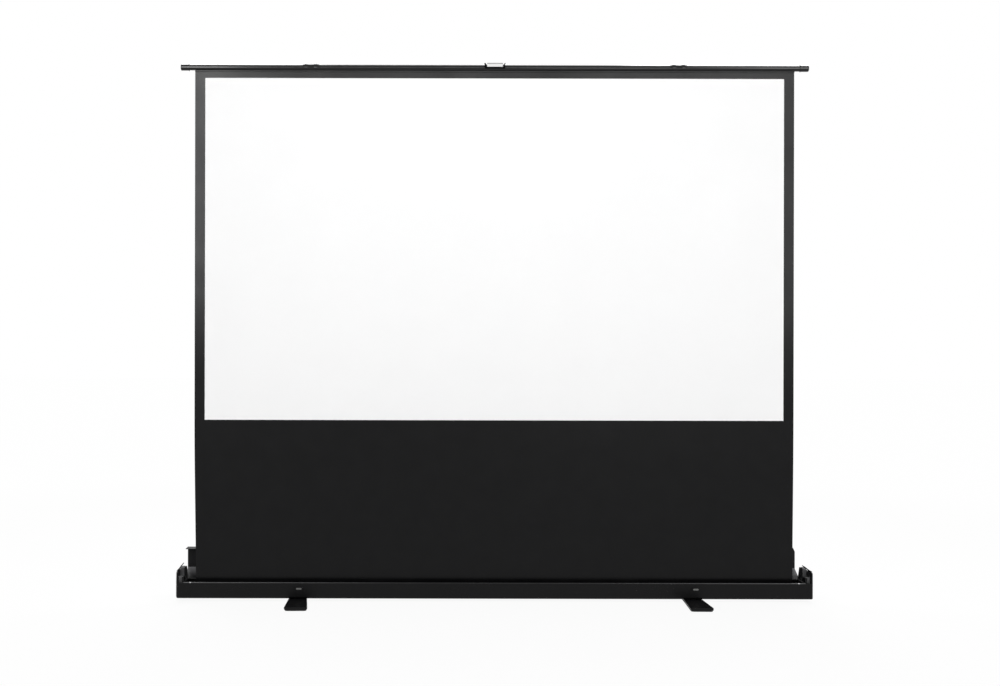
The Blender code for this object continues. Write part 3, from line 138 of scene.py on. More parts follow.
@dataclass(frozen=True)
class Finish:
    """A surface finish: its shader values and the size of its fine texture.

    Lengths are in millimetres.
    """

    name: str
    colour: str
    roughness: float
    metallic: float = 0.0
    specular: float = 0.5
    ior: float = 1.5
    grain: float = 1.0
    relief: float = 0.02
    stretch: tuple[float, float, float] = (1.0, 1.0, 1.0)
    patch: float = 80.0
    roughness_spread: float = 0.06

    def material(self) -> bpy.types.Material:
        """Builds the material once, and returns it each time."""
        made = bpy.data.materials.get(self.name)
        if made is not None:
            return made
        made = bpy.data.materials.new(self.name)
        made.use_nodes = True
        tree = made.node_tree
        shader = tree.nodes["Principled BSDF"]
        shader.inputs["Base Color"].default_value = linear(self.colour)
        shader.inputs["Roughness"].default_value = self.roughness
        shader.inputs["Metallic"].default_value = self.metallic
        shader.inputs["Specular IOR Level"].default_value = self.specular
        if self.metallic == 0:
            shader.inputs["IOR"].default_value = self.ior
        made.diffuse_color = linear(self.colour)
        self.texture(tree, shader)
        return made

    def place(self, tree: bpy.types.NodeTree, size: float,
              stretch: tuple[float, float, float] = (1.0, 1.0, 1.0)) -> bpy.types.NodeSocket:
        """Returns Object coordinates scaled so that one unit is size millimetres."""
        where = add_node(tree, "ShaderNodeTexCoord")
        scale = [1 / (size * MM * s) for s in stretch]
        mapped = add_node(tree, "ShaderNodeMapping", values={"Scale": scale},
                          links={"Vector": where.outputs["Object"]})
        return mapped.outputs["Vector"]

    def texture(self, tree: bpy.types.NodeTree, shader: bpy.types.Node) -> None:
        """Adds fine relief and a slow change of gloss over the surface."""
        fine = add_node(tree, "ShaderNodeTexNoise", values={"Scale": 1.0, "Detail": 3.0},
                        links={"Vector": self.place(tree, self.grain, self.stretch)})
        bump = add_node(tree, "ShaderNodeBump",
                        values={"Strength": 0.6, "Distance": self.relief * MM},
                        links={"Height": fine.outputs["Fac"]})
        tree.links.new(bump.outputs["Normal"], shader.inputs["Normal"])
        slow = add_node(tree, "ShaderNodeTexNoise", values={"Scale": 1.0, "Detail": 4.0},
                        links={"Vector": self.place(tree, self.patch, self.stretch)})
        spread = add_node(tree, "ShaderNodeMapRange",
                          values={"From Min": 0.3, "From Max": 0.7,
                                  "To Min": self.roughness - self.roughness_spread,
                                  "To Max": self.roughness + self.roughness_spread},
                          links={"Value": slow.outputs["Fac"]})
        tree.links.new(spread.outputs["Result"], shader.inputs["Roughness"])


@dataclass(frozen=True)
class Tinted(Finish):
    """A finish whose colour drifts between two close tones."""

    second: str = "#000000"
    tone_size: float = 5.0

    def texture(self, tree: bpy.types.NodeTree, shader: bpy.types.Node) -> None:
        """Adds the fine relief, and mixes the second tone in patches."""
        super().texture(tree, shader)
        tone = add_node(tree, "ShaderNodeTexNoise", values={"Scale": 1.0, "Detail": 5.0},
                        links={"Vector": self.place(tree, self.tone_size, self.stretch)})
        ramp = add_node(tree, "ShaderNodeMapRange", values={"From Min": 0.35, "From Max": 0.65},
                        links={"Value": tone.outputs["Fac"]})
        mixed = add_node(tree, "ShaderNodeMix", settings={"data_type": "RGBA"},
                         values={6: linear(self.colour), 7: linear(self.second)},
                         links={0: ramp.outputs["Result"]})
        tree.links.new(mixed.outputs[2], shader.inputs["Base Color"])


@dataclass(frozen=True)
class CoatedCloth(Tinted):
    """Vinyl-coated woven cloth: a faint thread relief and long soft streaks down the drop."""

    thread: float = 1.6
    thread_relief: float = 0.012
    streak: tuple[float, float] = (26.0, 420.0)
    streak_relief: float = 0.05

    def texture(self, tree: bpy.types.NodeTree, shader: bpy.types.Node) -> None:
        """Adds the thread grid and the streaks to the bump, over the tinted base."""
        super().texture(tree, shader)
        # Real threads lie about 0.4 mm apart. They are drawn four times coarser so that they show.
        grid = []
        for direction in ("X", "Z"):
            wave = add_node(tree, "ShaderNodeTexWave",
                            settings={"wave_type": "BANDS", "bands_direction": direction},
                            values={"Scale": 0.5, "Distortion": 0.4, "Detail": 1.0},
                            links={"Vector": self.place(tree, self.thread)})
            grid.append(wave.outputs["Fac"])
        weave = add_node(tree, "ShaderNodeMath", settings={"operation": "MULTIPLY"},
                         links={0: grid[0], 1: grid[1]})
        threads = add_node(tree, "ShaderNodeBump",
                           values={"Strength": 0.5, "Distance": self.thread_relief * MM},
                           links={"Height": weave.outputs["Value"]})
        across, down = self.streak
        streaks = add_node(tree, "ShaderNodeTexNoise", values={"Scale": 1.0, "Detail": 2.0},
                           links={"Vector": self.place(tree, across, (1.0, 1.0, down / across))})
        soft = add_node(tree, "ShaderNodeBump",
                        values={"Strength": 0.7, "Distance": self.streak_relief * MM},
                        links={"Height": streaks.outputs["Fac"],
                               "Normal": threads.outputs["Normal"]})
        tree.links.new(soft.outputs["Normal"], shader.inputs["Normal"])


@dataclass(frozen=True)
class PaintedEdgeTone(Finish):
    """A surface with a top band in another tone, a painted highlight on the case, lid and caps.
    Places are in millimetres.
    """

    # The other tone; by default the case's painted highlight.
    edge_tone: str = "#555556"
    # Heights between which the tone comes in, and the height above which it stops.
    edge_low: float = 71.6
    edge_high: float = 73.4
    edge_top: float = 200.0
    # Distance from the middle of the screen at which it stops.
    edge_end: float = 2000.0
    # Its share in the middle of the screen, and where that grows to all of it.
    middle_share: float = 0.22
    reach: tuple[float, float] = (350.0, 1050.0)
    # A painted glint on the side towards the middle, and where that ends.
    glint_tone: str = ""
    glint_end: float = 0.0

    def texture(self, tree: bpy.types.NodeTree, shader: bpy.types.Node) -> None:
        """Adds the fine relief, and the other tone above a height."""
        super().texture(tree, shader)
        where = add_node(tree, "ShaderNodeTexCoord")
        parts = add_node(tree, "ShaderNodeSeparateXYZ", links={0: where.outputs["Object"]})
        edge = add_node(tree, "ShaderNodeMapRange", settings={"interpolation_type": "SMOOTHSTEP"},
                        values={"From Min": self.edge_low * MM, "From Max": self.edge_high * MM},
                        links={"Value": parts.outputs["Z"]})
        side = add_node(tree, "ShaderNodeMath", settings={"operation": "ABSOLUTE"},
                        links={0: parts.outputs["X"]})
        ends = add_node(tree, "ShaderNodeMapRange",
                        values={"From Min": self.reach[0] * MM, "From Max": self.reach[1] * MM,
                                "To Min": self.middle_share, "To Max": 1.0},
                        links={"Value": side.outputs["Value"]})
        under = add_node(tree, "ShaderNodeMath", settings={"operation": "LESS_THAN"},
                         values={1: self.edge_top * MM}, links={0: parts.outputs["Z"]})
        within = add_node(tree, "ShaderNodeMath", settings={"operation": "LESS_THAN"},
                          values={1: self.edge_end * MM}, links={0: side.outputs["Value"]})
        share = ends.outputs["Result"]
        for mask in (edge.outputs["Result"], under.outputs["Value"], within.outputs["Value"]):
            share = add_node(tree, "ShaderNodeMath", settings={"operation": "MULTIPLY"},
                             links={0: share, 1: mask}).outputs["Value"]
        mixed = add_node(tree, "ShaderNodeMix", settings={"data_type": "RGBA"},
                         values={6: linear(self.colour), 7: linear(self.edge_tone)},
                         links={0: share})
        tree.links.new(mixed.outputs[2], shader.inputs["Base Color"])
        # A painted white glint on the side towards the middle.
        if self.glint_tone:
            glint_side = add_node(tree, "ShaderNodeMath", settings={"operation": "LESS_THAN"},
                               values={1: self.glint_end * MM}, links={0: side.outputs["Value"]})
            glint_mix = add_node(tree, "ShaderNodeMix", settings={"data_type": "RGBA"},
                            values={6: linear(self.edge_tone), 7: linear(self.glint_tone)},
                            links={0: glint_side.outputs["Value"]})
            tree.links.new(glint_mix.outputs[2], mixed.inputs[7])


class Look(Enum):
    """The finishes of this screen, each with the real surface that it stands for."""

    # Powder-coated aluminium extrusion: near black, half gloss, with a fine orange peel.
    # Its top edge carries a painted highlight, brightest near the ends.
    CASE = PaintedEdgeTone("powder_coated_aluminium", "#0b0b0c", 0.30, specular=0.14, grain=1.6,
                      relief=0.012, patch=120.0, roughness_spread=0.05)
    # The same powder coat on the lid, with a painted highlight on the sloped leaf towards its fold,
    # strongest near the ends.
    LID = PaintedEdgeTone("powder_coated_lid", "#0c0c0d", 0.55, specular=0.2, grain=1.6, relief=0.012,
                     patch=140.0, edge_tone="#7c7c7e", edge_low=72.0, edge_high=101.0,
                     edge_top=102.2, middle_share=0.1, reach=(900.0, 1130.0))
    # Moulded ABS: a spark-eroded grain that breaks the gloss.
    MOULDED = Finish("moulded_abs_black", "#09090a", 0.38, specular=0.14, grain=0.9, relief=0.03,
                     patch=30.0)
    # The end caps are the same plastic, and their front top edge carries the case's painted
    # highlight. A white painted glint sits where it meets the case.
    CAP = PaintedEdgeTone("moulded_cap_black", "#09090a", 0.38, specular=0.14, grain=0.9, relief=0.03,
                     patch=30.0, edge_top=75.4, edge_end=1162.0, glint_tone="#d4d4d6",
                     glint_end=1141.0)
    # The thin flaps are rougher, so that their slopes stay dark.
    FLAP = Finish("moulded_flap_black", "#111112", 0.8, specular=0.0, grain=0.9, relief=0.03,
                  patch=20.0)
    # The cradles are moulded in a softer, lighter grey nylon.
    CRADLE = Finish("moulded_nylon_grey", "#585859", 0.5, specular=0.4, grain=0.8, relief=0.03,
                    patch=20.0)
    # Painted steel tube with a smooth gloss that gives long highlights.
    TUBE = Finish("gloss_painted_tube", "#060607", 0.16, specular=0.3, grain=2.2, relief=0.008,
                  stretch=(4.0, 1.0, 1.0), patch=90.0, roughness_spread=0.04)
    # Satin painted steel of the folding arms and their brackets.
    ARM = Finish("satin_painted_steel", "#161617", 0.36, specular=0.45, grain=1.2, relief=0.012,
                 patch=60.0)
    # Extruded aluminium, left bare, with faint die lines along the roller.
    ALUMINIUM = Finish("mill_finish_aluminium", "#c4c5c7", 0.3, metallic=1.0, grain=0.6,
                       relief=0.01, stretch=(60.0, 1.0, 1.0), patch=25.0)
    # Zinc-plated steel: bright, slightly clouded.
    ZINC = Tinted("zinc_plated_steel", "#b9bbbd", 0.26, metallic=1.0, grain=0.5, relief=0.006,
                  patch=6.0, second="#a2a3a4", tone_size=4.0)
    # Black nickel button faces, brushed across.
    BUTTON = Finish("black_nickel", "#6e6e6d", 0.3, metallic=1.0, grain=0.25, relief=0.006,
                    stretch=(12.0, 1.0, 1.0), patch=8.0)
    # Light grey injection-moulded grip, smooth with a slight sheen.
    # Its upper edge is a darker grey.
    GRIP = PaintedEdgeTone("moulded_grip_grey", "#dcdcdb", 0.38, specular=0.45, grain=1.0, relief=0.012,
                      patch=15.0, edge_tone="#6c6c6c", edge_low=2019.6, edge_high=2022.4,
                      edge_top=2100.0, middle_share=1.0)
    # Natural rubber sole: matt, with a dusty bloom.
    RUBBER = Tinted("rubber_black", "#161616", 0.85, specular=0.25, grain=0.7, relief=0.06,
                    patch=12.0, second="#202020", tone_size=9.0)
    # Black vinyl-coated cloth of the border and the drop: smooth enough to take a sheen.
    BLACK_CLOTH = CoatedCloth("black_vinyl_cloth", "#060607", 0.24, specular=0.15, grain=3.0,
                              relief=0.010, patch=160.0, roughness_spread=0.03,
                              second="#09090a", tone_size=60.0)
    # Matt white projection coating.
    WHITE_CLOTH = CoatedCloth("matt_white_vinyl", "#f8f8f8", 0.75, specular=0.2, grain=2.0,
                              relief=0.008, patch=200.0, second="#f7f7f7", tone_size=240.0,
                              streak_relief=0.0)

    def material(self) -> bpy.types.Material:
        """Returns this finish's material."""
        return self.value.material()


def mesh_object(name: str, shape: bmesh.types.BMesh, look: Look) -> bpy.types.Object:
    """Turns a bmesh into a named object with one finish.

    Args:
        name: The piece's name.
        shape: The finished bmesh, which is freed.
        look: Its finish.

    Returns:
        The new object, at the origin.
    """
    bmesh.ops.recalc_face_normals(shape, faces=shape.faces)
    mesh = bpy.data.meshes.new(name)
    shape.to_mesh(mesh)
    shape.free()
    mesh.shade_smooth()
    mesh.set_sharp_from_angle(angle=SHARP)
    mesh.materials.append(look.material())
    piece = bpy.data.objects.new(name, mesh)
    bpy.context.scene.collection.objects.link(piece)
    return piece


def settle(piece: bpy.types.Object) -> bpy.types.Object:
    """Applies a piece's modifiers, so that it is a plain mesh."""
    depsgraph = bpy.context.evaluated_depsgraph_get()
    plain = bpy.data.meshes.new_from_object(piece.evaluated_get(depsgraph))
    piece.modifiers.clear()
    piece.data = plain
    return piece


@dataclass
class HangingSheet:
    """The black sheet and the white face on it, between the roller and the batten.

    Lengths are in metres.
    """

    black_thickness: float = 0.0004
    white_thickness: float = 0.0003
    # Widest columns and rows of their grids.
    column: float = 0.006
    white_column: float = 0.012
    row: float = 0.045
    # Shallow standing waves below the white area: (length across, share of the height).
    waves: tuple[tuple[float, float], ...] = ((0.083, 0.40), (0.047, 0.30), (0.031, 0.18),
                                              (0.129, 0.35))
    wave_height: float = 0.00016
    wave_fade: float = 0.16
    # Phase of a wave for each share, and its turns for each wavelength of height.
    wave_phase: float = 3.1
    wave_slant: float = 0.12
    # The sheet is held flat up to this height.
    flat_foot: float = 0.05
    # The sheet draws in towards its foot, by this much at its left and right edge.
    draw_in: tuple[float, float] = (0.0068, 0.0034)
    main_joint: str = "lower_right_fold"
    # Heights of the two sheets' upper edges when the arms are folded: the white one is inside.
    stowed_black: float = 0.0761
    stowed_white: float = 0.0600

    def push(self, x: float, z: float, white_foot: float) -> float:
        """How far the sheet stands forward of its plane at one point.

        Args:
            x: Across.
            z: Height.
            white_foot: Height of the white area's lower edge.

        Returns:
            The offset along Y in metres.
        """
        wave = 0.0
        for length, share in self.waves:
            turns = x / length + self.wave_phase * share + self.wave_slant * z / length
            wave += share * math.sin(math.tau * turns)
        below = (white_foot - z) / self.wave_fade
        above = (z - self.flat_foot) / self.wave_fade
        fade = min(1.0, max(0.0, below)) * min(1.0, max(0.0, above))
        return -self.wave_height * wave * fade

    def draw(self, across: float, z: float, white_foot: float) -> float:
        """How far the sheet's side draws in at one point.

        Args:
            across: Place across the sheet, from -1 at its left edge to 1 at its right edge.
            z: Height.
            white_foot: Height of the white area's lower edge.

        Returns:
            The offset along X in metres.
        """
        below = min(1.0, max(0.0, (white_foot - z) / white_foot))
        side = self.draw_in[0] if across < 0 else -self.draw_in[1]
        return side * abs(across) ** 3 * below * below * (3 - 2 * below)

    def cloth(self, name: str, low: Vector, high: Vector, middle: float, thickness: float,
              steps: tuple[float, float], white_foot: float, look: Look) -> bpy.types.Object:
        """Builds one rectangular sheet with its thickness.

        Args:
            name: The piece's name.
            low: Its lowest corner.
            high: Its highest corner.
            middle: The Y of its middle plane.
            thickness: Its thickness.
            steps: Widest column and row of the grid.
            white_foot: Height below which the sheet is slightly wavy.
            look: Its finish.

        Returns:
            The sheet, as a plain mesh.
        """
        columns = math.ceil((high.x - low.x) / steps[0])
        rows = math.ceil((high.z - low.z) / steps[1])
        shape = bmesh.new()
        grid = []
        for i in range(rows + 1):
            z = low.z + (high.z - low.z) * i / rows
            line = []
            for j in range(columns + 1):
                x = low.x + (high.x - low.x) * j / columns
                y = middle + self.push(x, z, white_foot)
                line.append(shape.verts.new((x + self.draw(x / high.x, z, white_foot), y, z)))
            grid.append(line)
        for below, above in zip(grid, grid[1:]):
            for j in range(columns):
                shape.faces.new((below[j], below[j + 1], above[j + 1], above[j]))
        piece = mesh_object(name, shape, look)
        body = piece.modifiers.new("thickness", "SOLIDIFY")
        body.thickness = thickness
        body.offset = 0.0
        settle(piece)
        piece.data.set_sharp_from_angle(angle=SHARP)
        return piece

    def build(self) -> None:
        low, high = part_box("screen_backing")
        white_low, white_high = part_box("viewing_surface")
        middle = (low.y + high.y) / 2
        white_middle = (white_low.y + white_high.y) / 2
        black = self.cloth("sheet_black", low, high, middle, self.black_thickness,
                           (self.column, self.row), white_low.z, Look.BLACK_CLOTH)
        white = self.cloth("sheet_white_face", white_low, white_high, white_middle,
                           self.white_thickness, (self.white_column, self.row), white_low.z,
                           Look.WHITE_CLOTH)
        for piece, node, box, slot in ((black, "screen_backing", (low, high), "black_pvc_fabric"),
                                       (white, "viewing_surface", (white_low, white_high),
                                        "matt_white_pvc")):
            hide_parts(node)
            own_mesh(piece)
            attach(piece, "base")
            LOG.info("cloth %s", piece.name)


@dataclass
class RolledCloth:
    """The turns of sheet left on the roller, as one spiral strip. Lengths are in metres."""

    inner: float = 0.0165
    outer: float = 0.0171
    thickness: float = 0.0004
    turns: float = 2.0
    points: int = 72

    def build(self) -> None:
        """Makes the spiral strip, which rides on the roller."""
        low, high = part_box("fabric_turns")
        roller_low, roller_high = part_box("roller_tube")
        axis = (roller_low + roller_high) / 2
        shape = bmesh.new()
        count = int(self.turns * self.points)
        rings = []
        for i in range(count + 1):
            angle = -math.tau * i / self.points
            radius = self.inner + (self.outer - self.inner) * i / count
            ring = []
            for x in (low.x, high.x):
                for side in (-0.5, 0.5):
                    r = radius + side * self.thickness
                    ring.append(shape.verts.new((x, axis.y + r * math.cos(angle),
                                                 axis.z + r * math.sin(angle))))
            rings.append(ring)
        for a, b in zip(rings, rings[1:]):
            for p, q in ((0, 1), (1, 3), (3, 2), (2, 0)):
                shape.faces.new((a[p], a[q], b[q], b[p]))
        for ring in (rings[0], rings[-1]):
            shape.faces.new((ring[0], ring[1], ring[3], ring[2]))
        piece = mesh_object("fabric_turns_cloth", shape, Look.BLACK_CLOTH)
        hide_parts("fabric_turns")
        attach(piece, "roller")


@dataclass
class Spring:
    """A wire coil whose axis runs along X or Y, built by a geometry tree. Lengths in metres."""

    name: str
    node: str
    body: str
    start: Vector
    end: Vector
    radius: float
    wire: float
    curls: float
    # Points along one curl, and around the wire.
    curl_steps: int = 28
    wire_steps: int = 10

    def tree(self) -> bpy.types.NodeTree:
        """Builds, once, the tree that bends a wire into a coil."""
        made = bpy.data.node_groups.get("wire_coil")
        if made is not None:
            return made
        made = bpy.data.node_groups.new("wire_coil", "GeometryNodeTree")
        for name in ("Coil Radius", "Coil Length", "Curls", "Wire Radius"):
            made.interface.new_socket(name, in_out="INPUT", socket_type="NodeSocketFloat")
        made.interface.new_socket("Finish", in_out="INPUT", socket_type="NodeSocketMaterial")
        made.interface.new_socket("Geometry", in_out="OUTPUT", socket_type="NodeSocketGeometry")
        given = add_node(made, "NodeGroupInput").outputs
        path = add_node(made, "GeometryNodeCurveSpiral", values={"Resolution": self.curl_steps},
                        links={"Rotations": given["Curls"], "Start Radius": given["Coil Radius"],
                               "End Radius": given["Coil Radius"], "Height": given["Coil Length"]})
        section = add_node(made, "GeometryNodeCurvePrimitiveCircle",
                           values={"Resolution": self.wire_steps},
                           links={"Radius": given["Wire Radius"]})
        wire = add_node(made, "GeometryNodeCurveToMesh", values={"Fill Caps": True},
                        links={"Curve": path.outputs["Curve"],
                               "Profile Curve": section.outputs["Curve"]})
        smooth = add_node(made, "GeometryNodeSetShadeSmooth",
                          links={"Geometry": wire.outputs["Mesh"]})
        real = add_node(made, "GeometryNodeRealizeInstances",
                        links={"Geometry": smooth.outputs["Geometry"]})
        dressed = add_node(made, "GeometryNodeSetMaterial",
                           links={"Geometry": real.outputs["Geometry"],
                                  "Material": given["Finish"]})
        add_node(made, "NodeGroupOutput", links={"Geometry": dressed.outputs["Geometry"]})
        return made

    def build(self) -> bpy.types.Object:
        """Makes the coil in place of its node and lets it ride on its body."""
        tree = self.tree()
        piece = bpy.data.objects.new(self.name, bpy.data.meshes.new(self.name))
        bpy.context.scene.collection.objects.link(piece)
        modifier = piece.modifiers.new("coil", "NODES")
        modifier.node_group = tree
        run = self.end - self.start
        given = {"Coil Radius": self.radius, "Coil Length": run.length - self.wire,
                 "Curls": self.curls, "Wire Radius": self.wire / 2, "Finish": Look.ZINC.material()}
        for item in tree.interface.items_tree:
            if item.in_out == "INPUT":
                modifier[item.identifier] = given[item.name]
        settle(piece)
        turn = Vector((0, 0, 1)).rotation_difference(run).to_matrix().to_4x4()
        foot = self.start + run.normalized() * self.wire / 2
        piece.data.transform(Matrix.Translation(foot) @ turn)
        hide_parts(self.node)
        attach(piece, self.body)
        LOG.info("spring %s", self.name)
        return piece


@dataclass
class Springs:
    """Every wound spring of the screen. Lengths are in metres."""

    arm_wire: float = 0.0016
    arm_radius: float = 0.0062
    arm_curls: float = 4.5
    button_wire: float = 0.0006
    button_radius: float = 0.0024
    button_curls: float = 3.5
    winding_wire: float = 0.0018
    winding_radius: float = 0.0072
    winding_curls: float = 44.0
    button_travel: float = 0.0018

    def build(self) -> None:
        """Makes the arm, button and winding springs where their nodes are."""
        for side in ("left", "right"):
            low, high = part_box(f"arm_spring_{side}")
            middle = (low + high) / 2
            Spring(f"arm_spring_{side}_coil", f"arm_spring_{side}", f"lower_{side}",
                   Vector((middle.x, low.y, middle.z)), Vector((middle.x, high.y, middle.z)),
                   self.arm_radius, self.arm_wire, self.arm_curls).build()
            low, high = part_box(f"button_spring_{side}")
            middle = (low + high) / 2
            coil = Spring(f"button_spring_{side}_coil", f"button_spring_{side}", "base",
                          Vector((middle.x, low.y, middle.z)), Vector((middle.x, high.y, middle.z)),
                          self.button_radius, self.button_wire, self.button_curls).build()
            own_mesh(coil)
        low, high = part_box("winding_spring")
        middle = (low + high) / 2
        Spring("winding_spring_coil", "winding_spring", "base",
               Vector((low.x, middle.y, middle.z)), Vector((high.x, middle.y, middle.z)),
               self.winding_radius, self.winding_wire, self.winding_curls).build()


@dataclass
class Bodywork:
    """The rigid solids that stay as they are, each with its finish and smoothly shaded curves."""

    looks: dict[str, Look] = field(default_factory=lambda: {
        "base_case": Look.CASE, "lid": Look.LID, "end_cap": Look.CAP,
        "end_flap": Look.FLAP, "foot_sole": Look.RUBBER, "foot_bolt": Look.ZINC,
        "foot_nut": Look.ZINC, "foot": Look.MOULDED, "button_housing": Look.MOULDED,
        "push_button": Look.BUTTON, "roller_plug": Look.MOULDED, "roller_tube": Look.ALUMINIUM,
        "tube_cap": Look.TUBE, "tube_cradle": Look.CRADLE, "flap_pin": Look.ZINC,
        "top_pin": Look.ZINC, "base_pin": Look.ZINC, "elbow_pin": Look.ZINC,
        "handle_pin": Look.ZINC, "spring_arbor": Look.ZINC, "roller_bracket": Look.ARM,
        "arm_base_bracket": Look.ARM, "lower_arm": Look.ARM, "upper_arm": Look.ARM,
        "top_tube": Look.TUBE, "fabric_batten": Look.BLACK_CLOTH, "handle_bracket": Look.FLAP,
        "arm_clamp": Look.TUBE, "handle_grip": Look.GRIP})
    # Corners of triangles closer than this are one corner.
    merge: float = 0.00001
    # Edges that turn more than this stay crisp.
    crease: float = math.radians(26)

    def shading(self) -> bpy.types.NodeTree:
        """Builds, once, the tree that joins a solid's triangles and shades its curves smoothly."""
        made = bpy.data.node_groups.get("crisp_edges")
        if made is not None:
            return made
        made = bpy.data.node_groups.new("crisp_edges", "GeometryNodeTree")
        made.interface.new_socket("Geometry", in_out="INPUT", socket_type="NodeSocketGeometry")
        made.interface.new_socket("Geometry", in_out="OUTPUT", socket_type="NodeSocketGeometry")
        given = add_node(made, "NodeGroupInput").outputs
        joined = add_node(made, "GeometryNodeMergeByDistance", values={"Distance": self.merge},
                          links={"Geometry": given["Geometry"]})
        turn = add_node(made, "GeometryNodeInputMeshEdgeAngle")
        crisp = add_node(made, "FunctionNodeCompare",
                         settings={"data_type": "FLOAT", "operation": "GREATER_THAN"},
                         values={1: self.crease}, links={0: turn.outputs["Unsigned Angle"]})
        smooth = add_node(made, "GeometryNodeSetShadeSmooth", settings={"domain": "FACE"},
                          values={"Shade Smooth": True},
                          links={"Geometry": joined.outputs["Geometry"]})
        edged = add_node(made, "GeometryNodeSetShadeSmooth", settings={"domain": "EDGE"},
                         values={"Shade Smooth": False},
                         links={"Geometry": smooth.outputs["Geometry"],
                                "Selection": crisp.outputs["Result"]})
        add_node(made, "NodeGroupOutput", links={"Geometry": edged.outputs["Geometry"]})
        return made

    def look_of(self, node: str) -> Look | None:
        """The finish of a node, by the longest matching start of its name."""
        starts = [start for start in self.looks if node.startswith(start)]
        return self.looks[max(starts, key=len)] if starts else None

    def build(self, nodes: dict[str, bpy.types.Object]) -> None:
        """Dresses every node that still shows.

        Args:
            nodes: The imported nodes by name.
        """
        for name, node in nodes.items():
            look = self.look_of(name)
            if look is None or node.hide_render:
                continue
            for slot in node.material_slots:
                slot.material = look.material()
            node.modifiers.new("crisp_edges", "NODES").node_group = self.shading()
            flat = node.modifiers.new("flat_faces", "WEIGHTED_NORMAL")
            flat.mode = "FACE_AREA_WITH_ANGLE"
            flat.keep_sharp = True
            LOG.info("finish %s on %s", look.name, name)


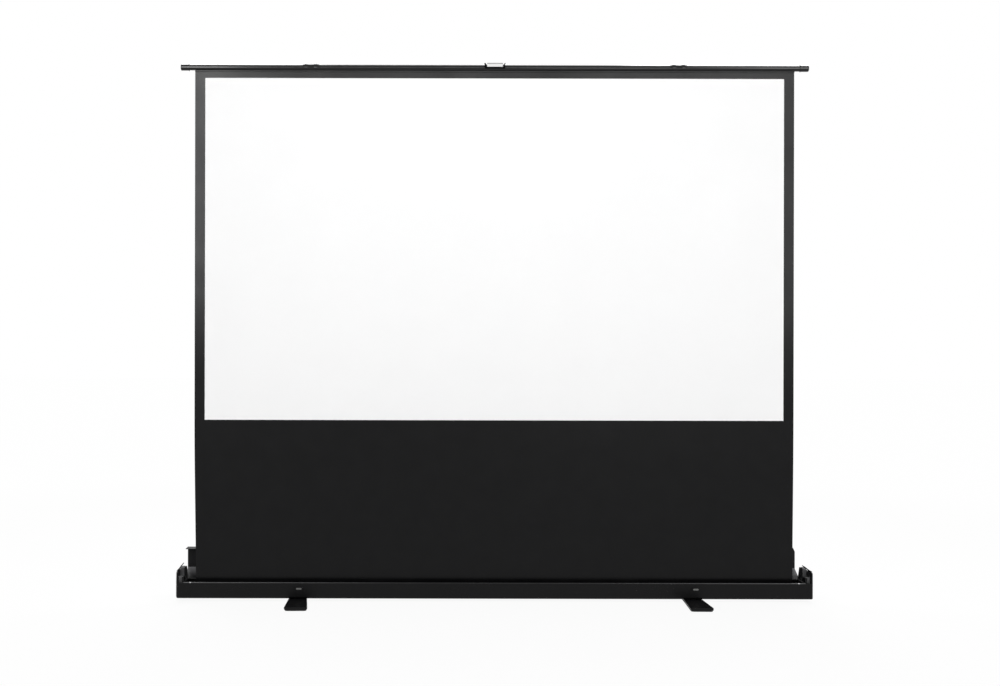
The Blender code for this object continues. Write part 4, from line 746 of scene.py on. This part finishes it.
@dataclass
class Studio:
    """Floor, world, lamps and camera. Lengths are in metres."""

    image_width: int = 1000
    focal_px: float = 1271.5
    sensor: float = 36.0
    eye: tuple[float, float, float] = (-0.363, -4.81, 0.970)
    principal_x: float = 398.0
    roll: float = math.radians(-0.12)
    floor_half: float = 30.0
    # Share of plain white in the floor near the object and far away from it, and where it grows.
    near_share: float = 0.93
    far_share: float = 0.995
    share_reach: tuple[float, float] = (1.6, 5.0)
    # Each lamp: name, place, point it faces, width, height, watts.
    lamps: tuple[tuple, ...] = (
        ("softbox_left", (-1.6, -3.0, 2.2), (-1.0, 0.0, 1.6), 0.45, 2.1, 38.0),
        ("softbox_right", (2.0, -3.0, 1.8), (1.0, 0.0, 1.3), 0.5, 1.5, 13.0),
        ("strip_right", (2.0, -3.0, 3.15), (1.0, 0.0, 2.0), 0.7, 0.8, 19.0),
        ("strip_front", (0.1, -3.0, 2.66), (0.1, 0.0, 2.0), 3.2, 0.2, 26.5),
        ("fill_low", (0.9, -3.0, 1.25), (0.8, 0.0, 0.7), 0.9, 0.6, 9.5),
        ("overhead_left", (-1.4, 1.2, 3.2), (-1.2, 0.0, 0.1), 1.2, 1.4, 50.0),
        ("overhead_right", (1.4, 1.2, 3.2), (1.2, 0.0, 0.1), 1.2, 1.4, 50.0),
        ("fill_rear", (0.0, 3.6, 2.8), (0.0, 0.0, 0.9), 3.0, 1.6, 60.0),
    )
    world_light: float = 0.20

    def paper(self) -> bpy.types.Material:
        """The floor: white to the eye and in reflections, and still able to take a shadow."""
        made = bpy.data.materials.new("studio_paper")
        made.use_nodes = True
        tree = made.node_tree
        tree.nodes.clear()
        seen = seen_rays(tree)
        spot = add_node(tree, "ShaderNodeTexCoord")
        away = add_node(tree, "ShaderNodeVectorMath", settings={"operation": "LENGTH"},
                        links={0: spot.outputs["Object"]})
        white_share = add_node(tree, "ShaderNodeMapRange",
                               settings={"interpolation_type": "SMOOTHSTEP"},
                               values={"From Min": self.share_reach[0],
                                       "From Max": self.share_reach[1],
                                       "To Min": self.near_share, "To Max": self.far_share},
                               links={"Value": away.outputs["Value"]})
        share = add_node(tree, "ShaderNodeMath", settings={"operation": "MULTIPLY"},
                         links={0: seen, 1: white_share.outputs["Result"]})
        matt = add_node(tree, "ShaderNodeBsdfDiffuse", values={"Color": linear("#f2f2f2")})
        white = add_node(tree, "ShaderNodeEmission", values={"Strength": 1.0})
        both = add_node(tree, "ShaderNodeMixShader",
                        links={0: share.outputs[0], 1: matt.outputs[0], 2: white.outputs[0]})
        add_node(tree, "ShaderNodeOutputMaterial", links={"Surface": both.outputs[0]})
        return made

    def build_floor(self) -> None:
        """Makes the plain floor under the feet."""
        shape = bmesh.new()
        half = self.floor_half
        shape.faces.new([shape.verts.new((x, y, 0.0)) for x, y in
                         ((-half, -half), (half, -half), (half, half), (-half, half))])
        mesh = bpy.data.meshes.new("studio_floor")
        shape.to_mesh(mesh)
        shape.free()
        mesh.materials.append(self.paper())
        floor = bpy.data.objects.new("studio_floor", mesh)
        bpy.context.scene.collection.objects.link(floor)

    def build_world(self) -> None:
        """A white surround for the eye and for gloss, and a soft grey one for matt light."""
        world = bpy.data.worlds.new("studio_world")
        bpy.context.scene.world = world
        world.use_nodes = True
        tree = world.node_tree
        tree.nodes.clear()
        seen = seen_rays(tree)
        level = add_node(tree, "ShaderNodeMapRange",
                         values={"To Min": self.world_light, "To Max": 1.0},
                         links={"Value": seen})
        sky = add_node(tree, "ShaderNodeBackground", values={"Color": linear("#ffffff")},
                       links={"Strength": level.outputs["Result"]})
        add_node(tree, "ShaderNodeOutputWorld", links={"Surface": sky.outputs[0]})

    def build_lamps(self) -> None:
        """Makes the soft area lamps, each turned to its point."""
        for name, place, target, width, height, watts in self.lamps:
            data = bpy.data.lights.new(name, "AREA")
            data.shape = "RECTANGLE"
            data.size, data.size_y = width, height
            data.energy = watts
            lamp = bpy.data.objects.new(name, data)
            lamp.visible_camera = False
            lamp.location = place
            aim = Vector(target) - Vector(place)
            lamp.rotation_euler = aim.to_track_quat("-Z", "Y").to_euler()
            bpy.context.scene.collection.objects.link(lamp)

    def build_camera(self) -> None:
        """Sets the camera at the photograph's place, with its off-centre frame."""
        data = bpy.data.cameras.new("camera")
        data.sensor_width = self.sensor
        data.lens = self.focal_px * self.sensor / self.image_width
        data.shift_x = 0.5 - self.principal_x / self.image_width
        camera = bpy.data.objects.new("camera", data)
        camera.location = self.eye
        camera.rotation_euler = (math.radians(90), self.roll, 0.0)
        bpy.context.scene.collection.objects.link(camera)
        bpy.context.scene.camera = camera

    def build(self) -> None:
        """Makes the whole studio."""
        self.build_camera()
        self.build_floor()
        self.build_world()
        self.build_lamps()
        bpy.context.scene.view_settings.view_transform = "Standard"


def main() -> None:
    """Loads the frame, then builds each part of the picture in order."""
    logging.basicConfig(level=logging.INFO, format="%(name)s: %(message)s")
    for old in list(bpy.data.objects):
        bpy.data.objects.remove(old, do_unlink=True)
    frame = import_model()
    Studio().build()
    RolledCloth().build()
    HangingSheet().build()
    Springs().build()
    Bodywork().build(frame["nodes"])


if __name__ == "__main__":
    main()
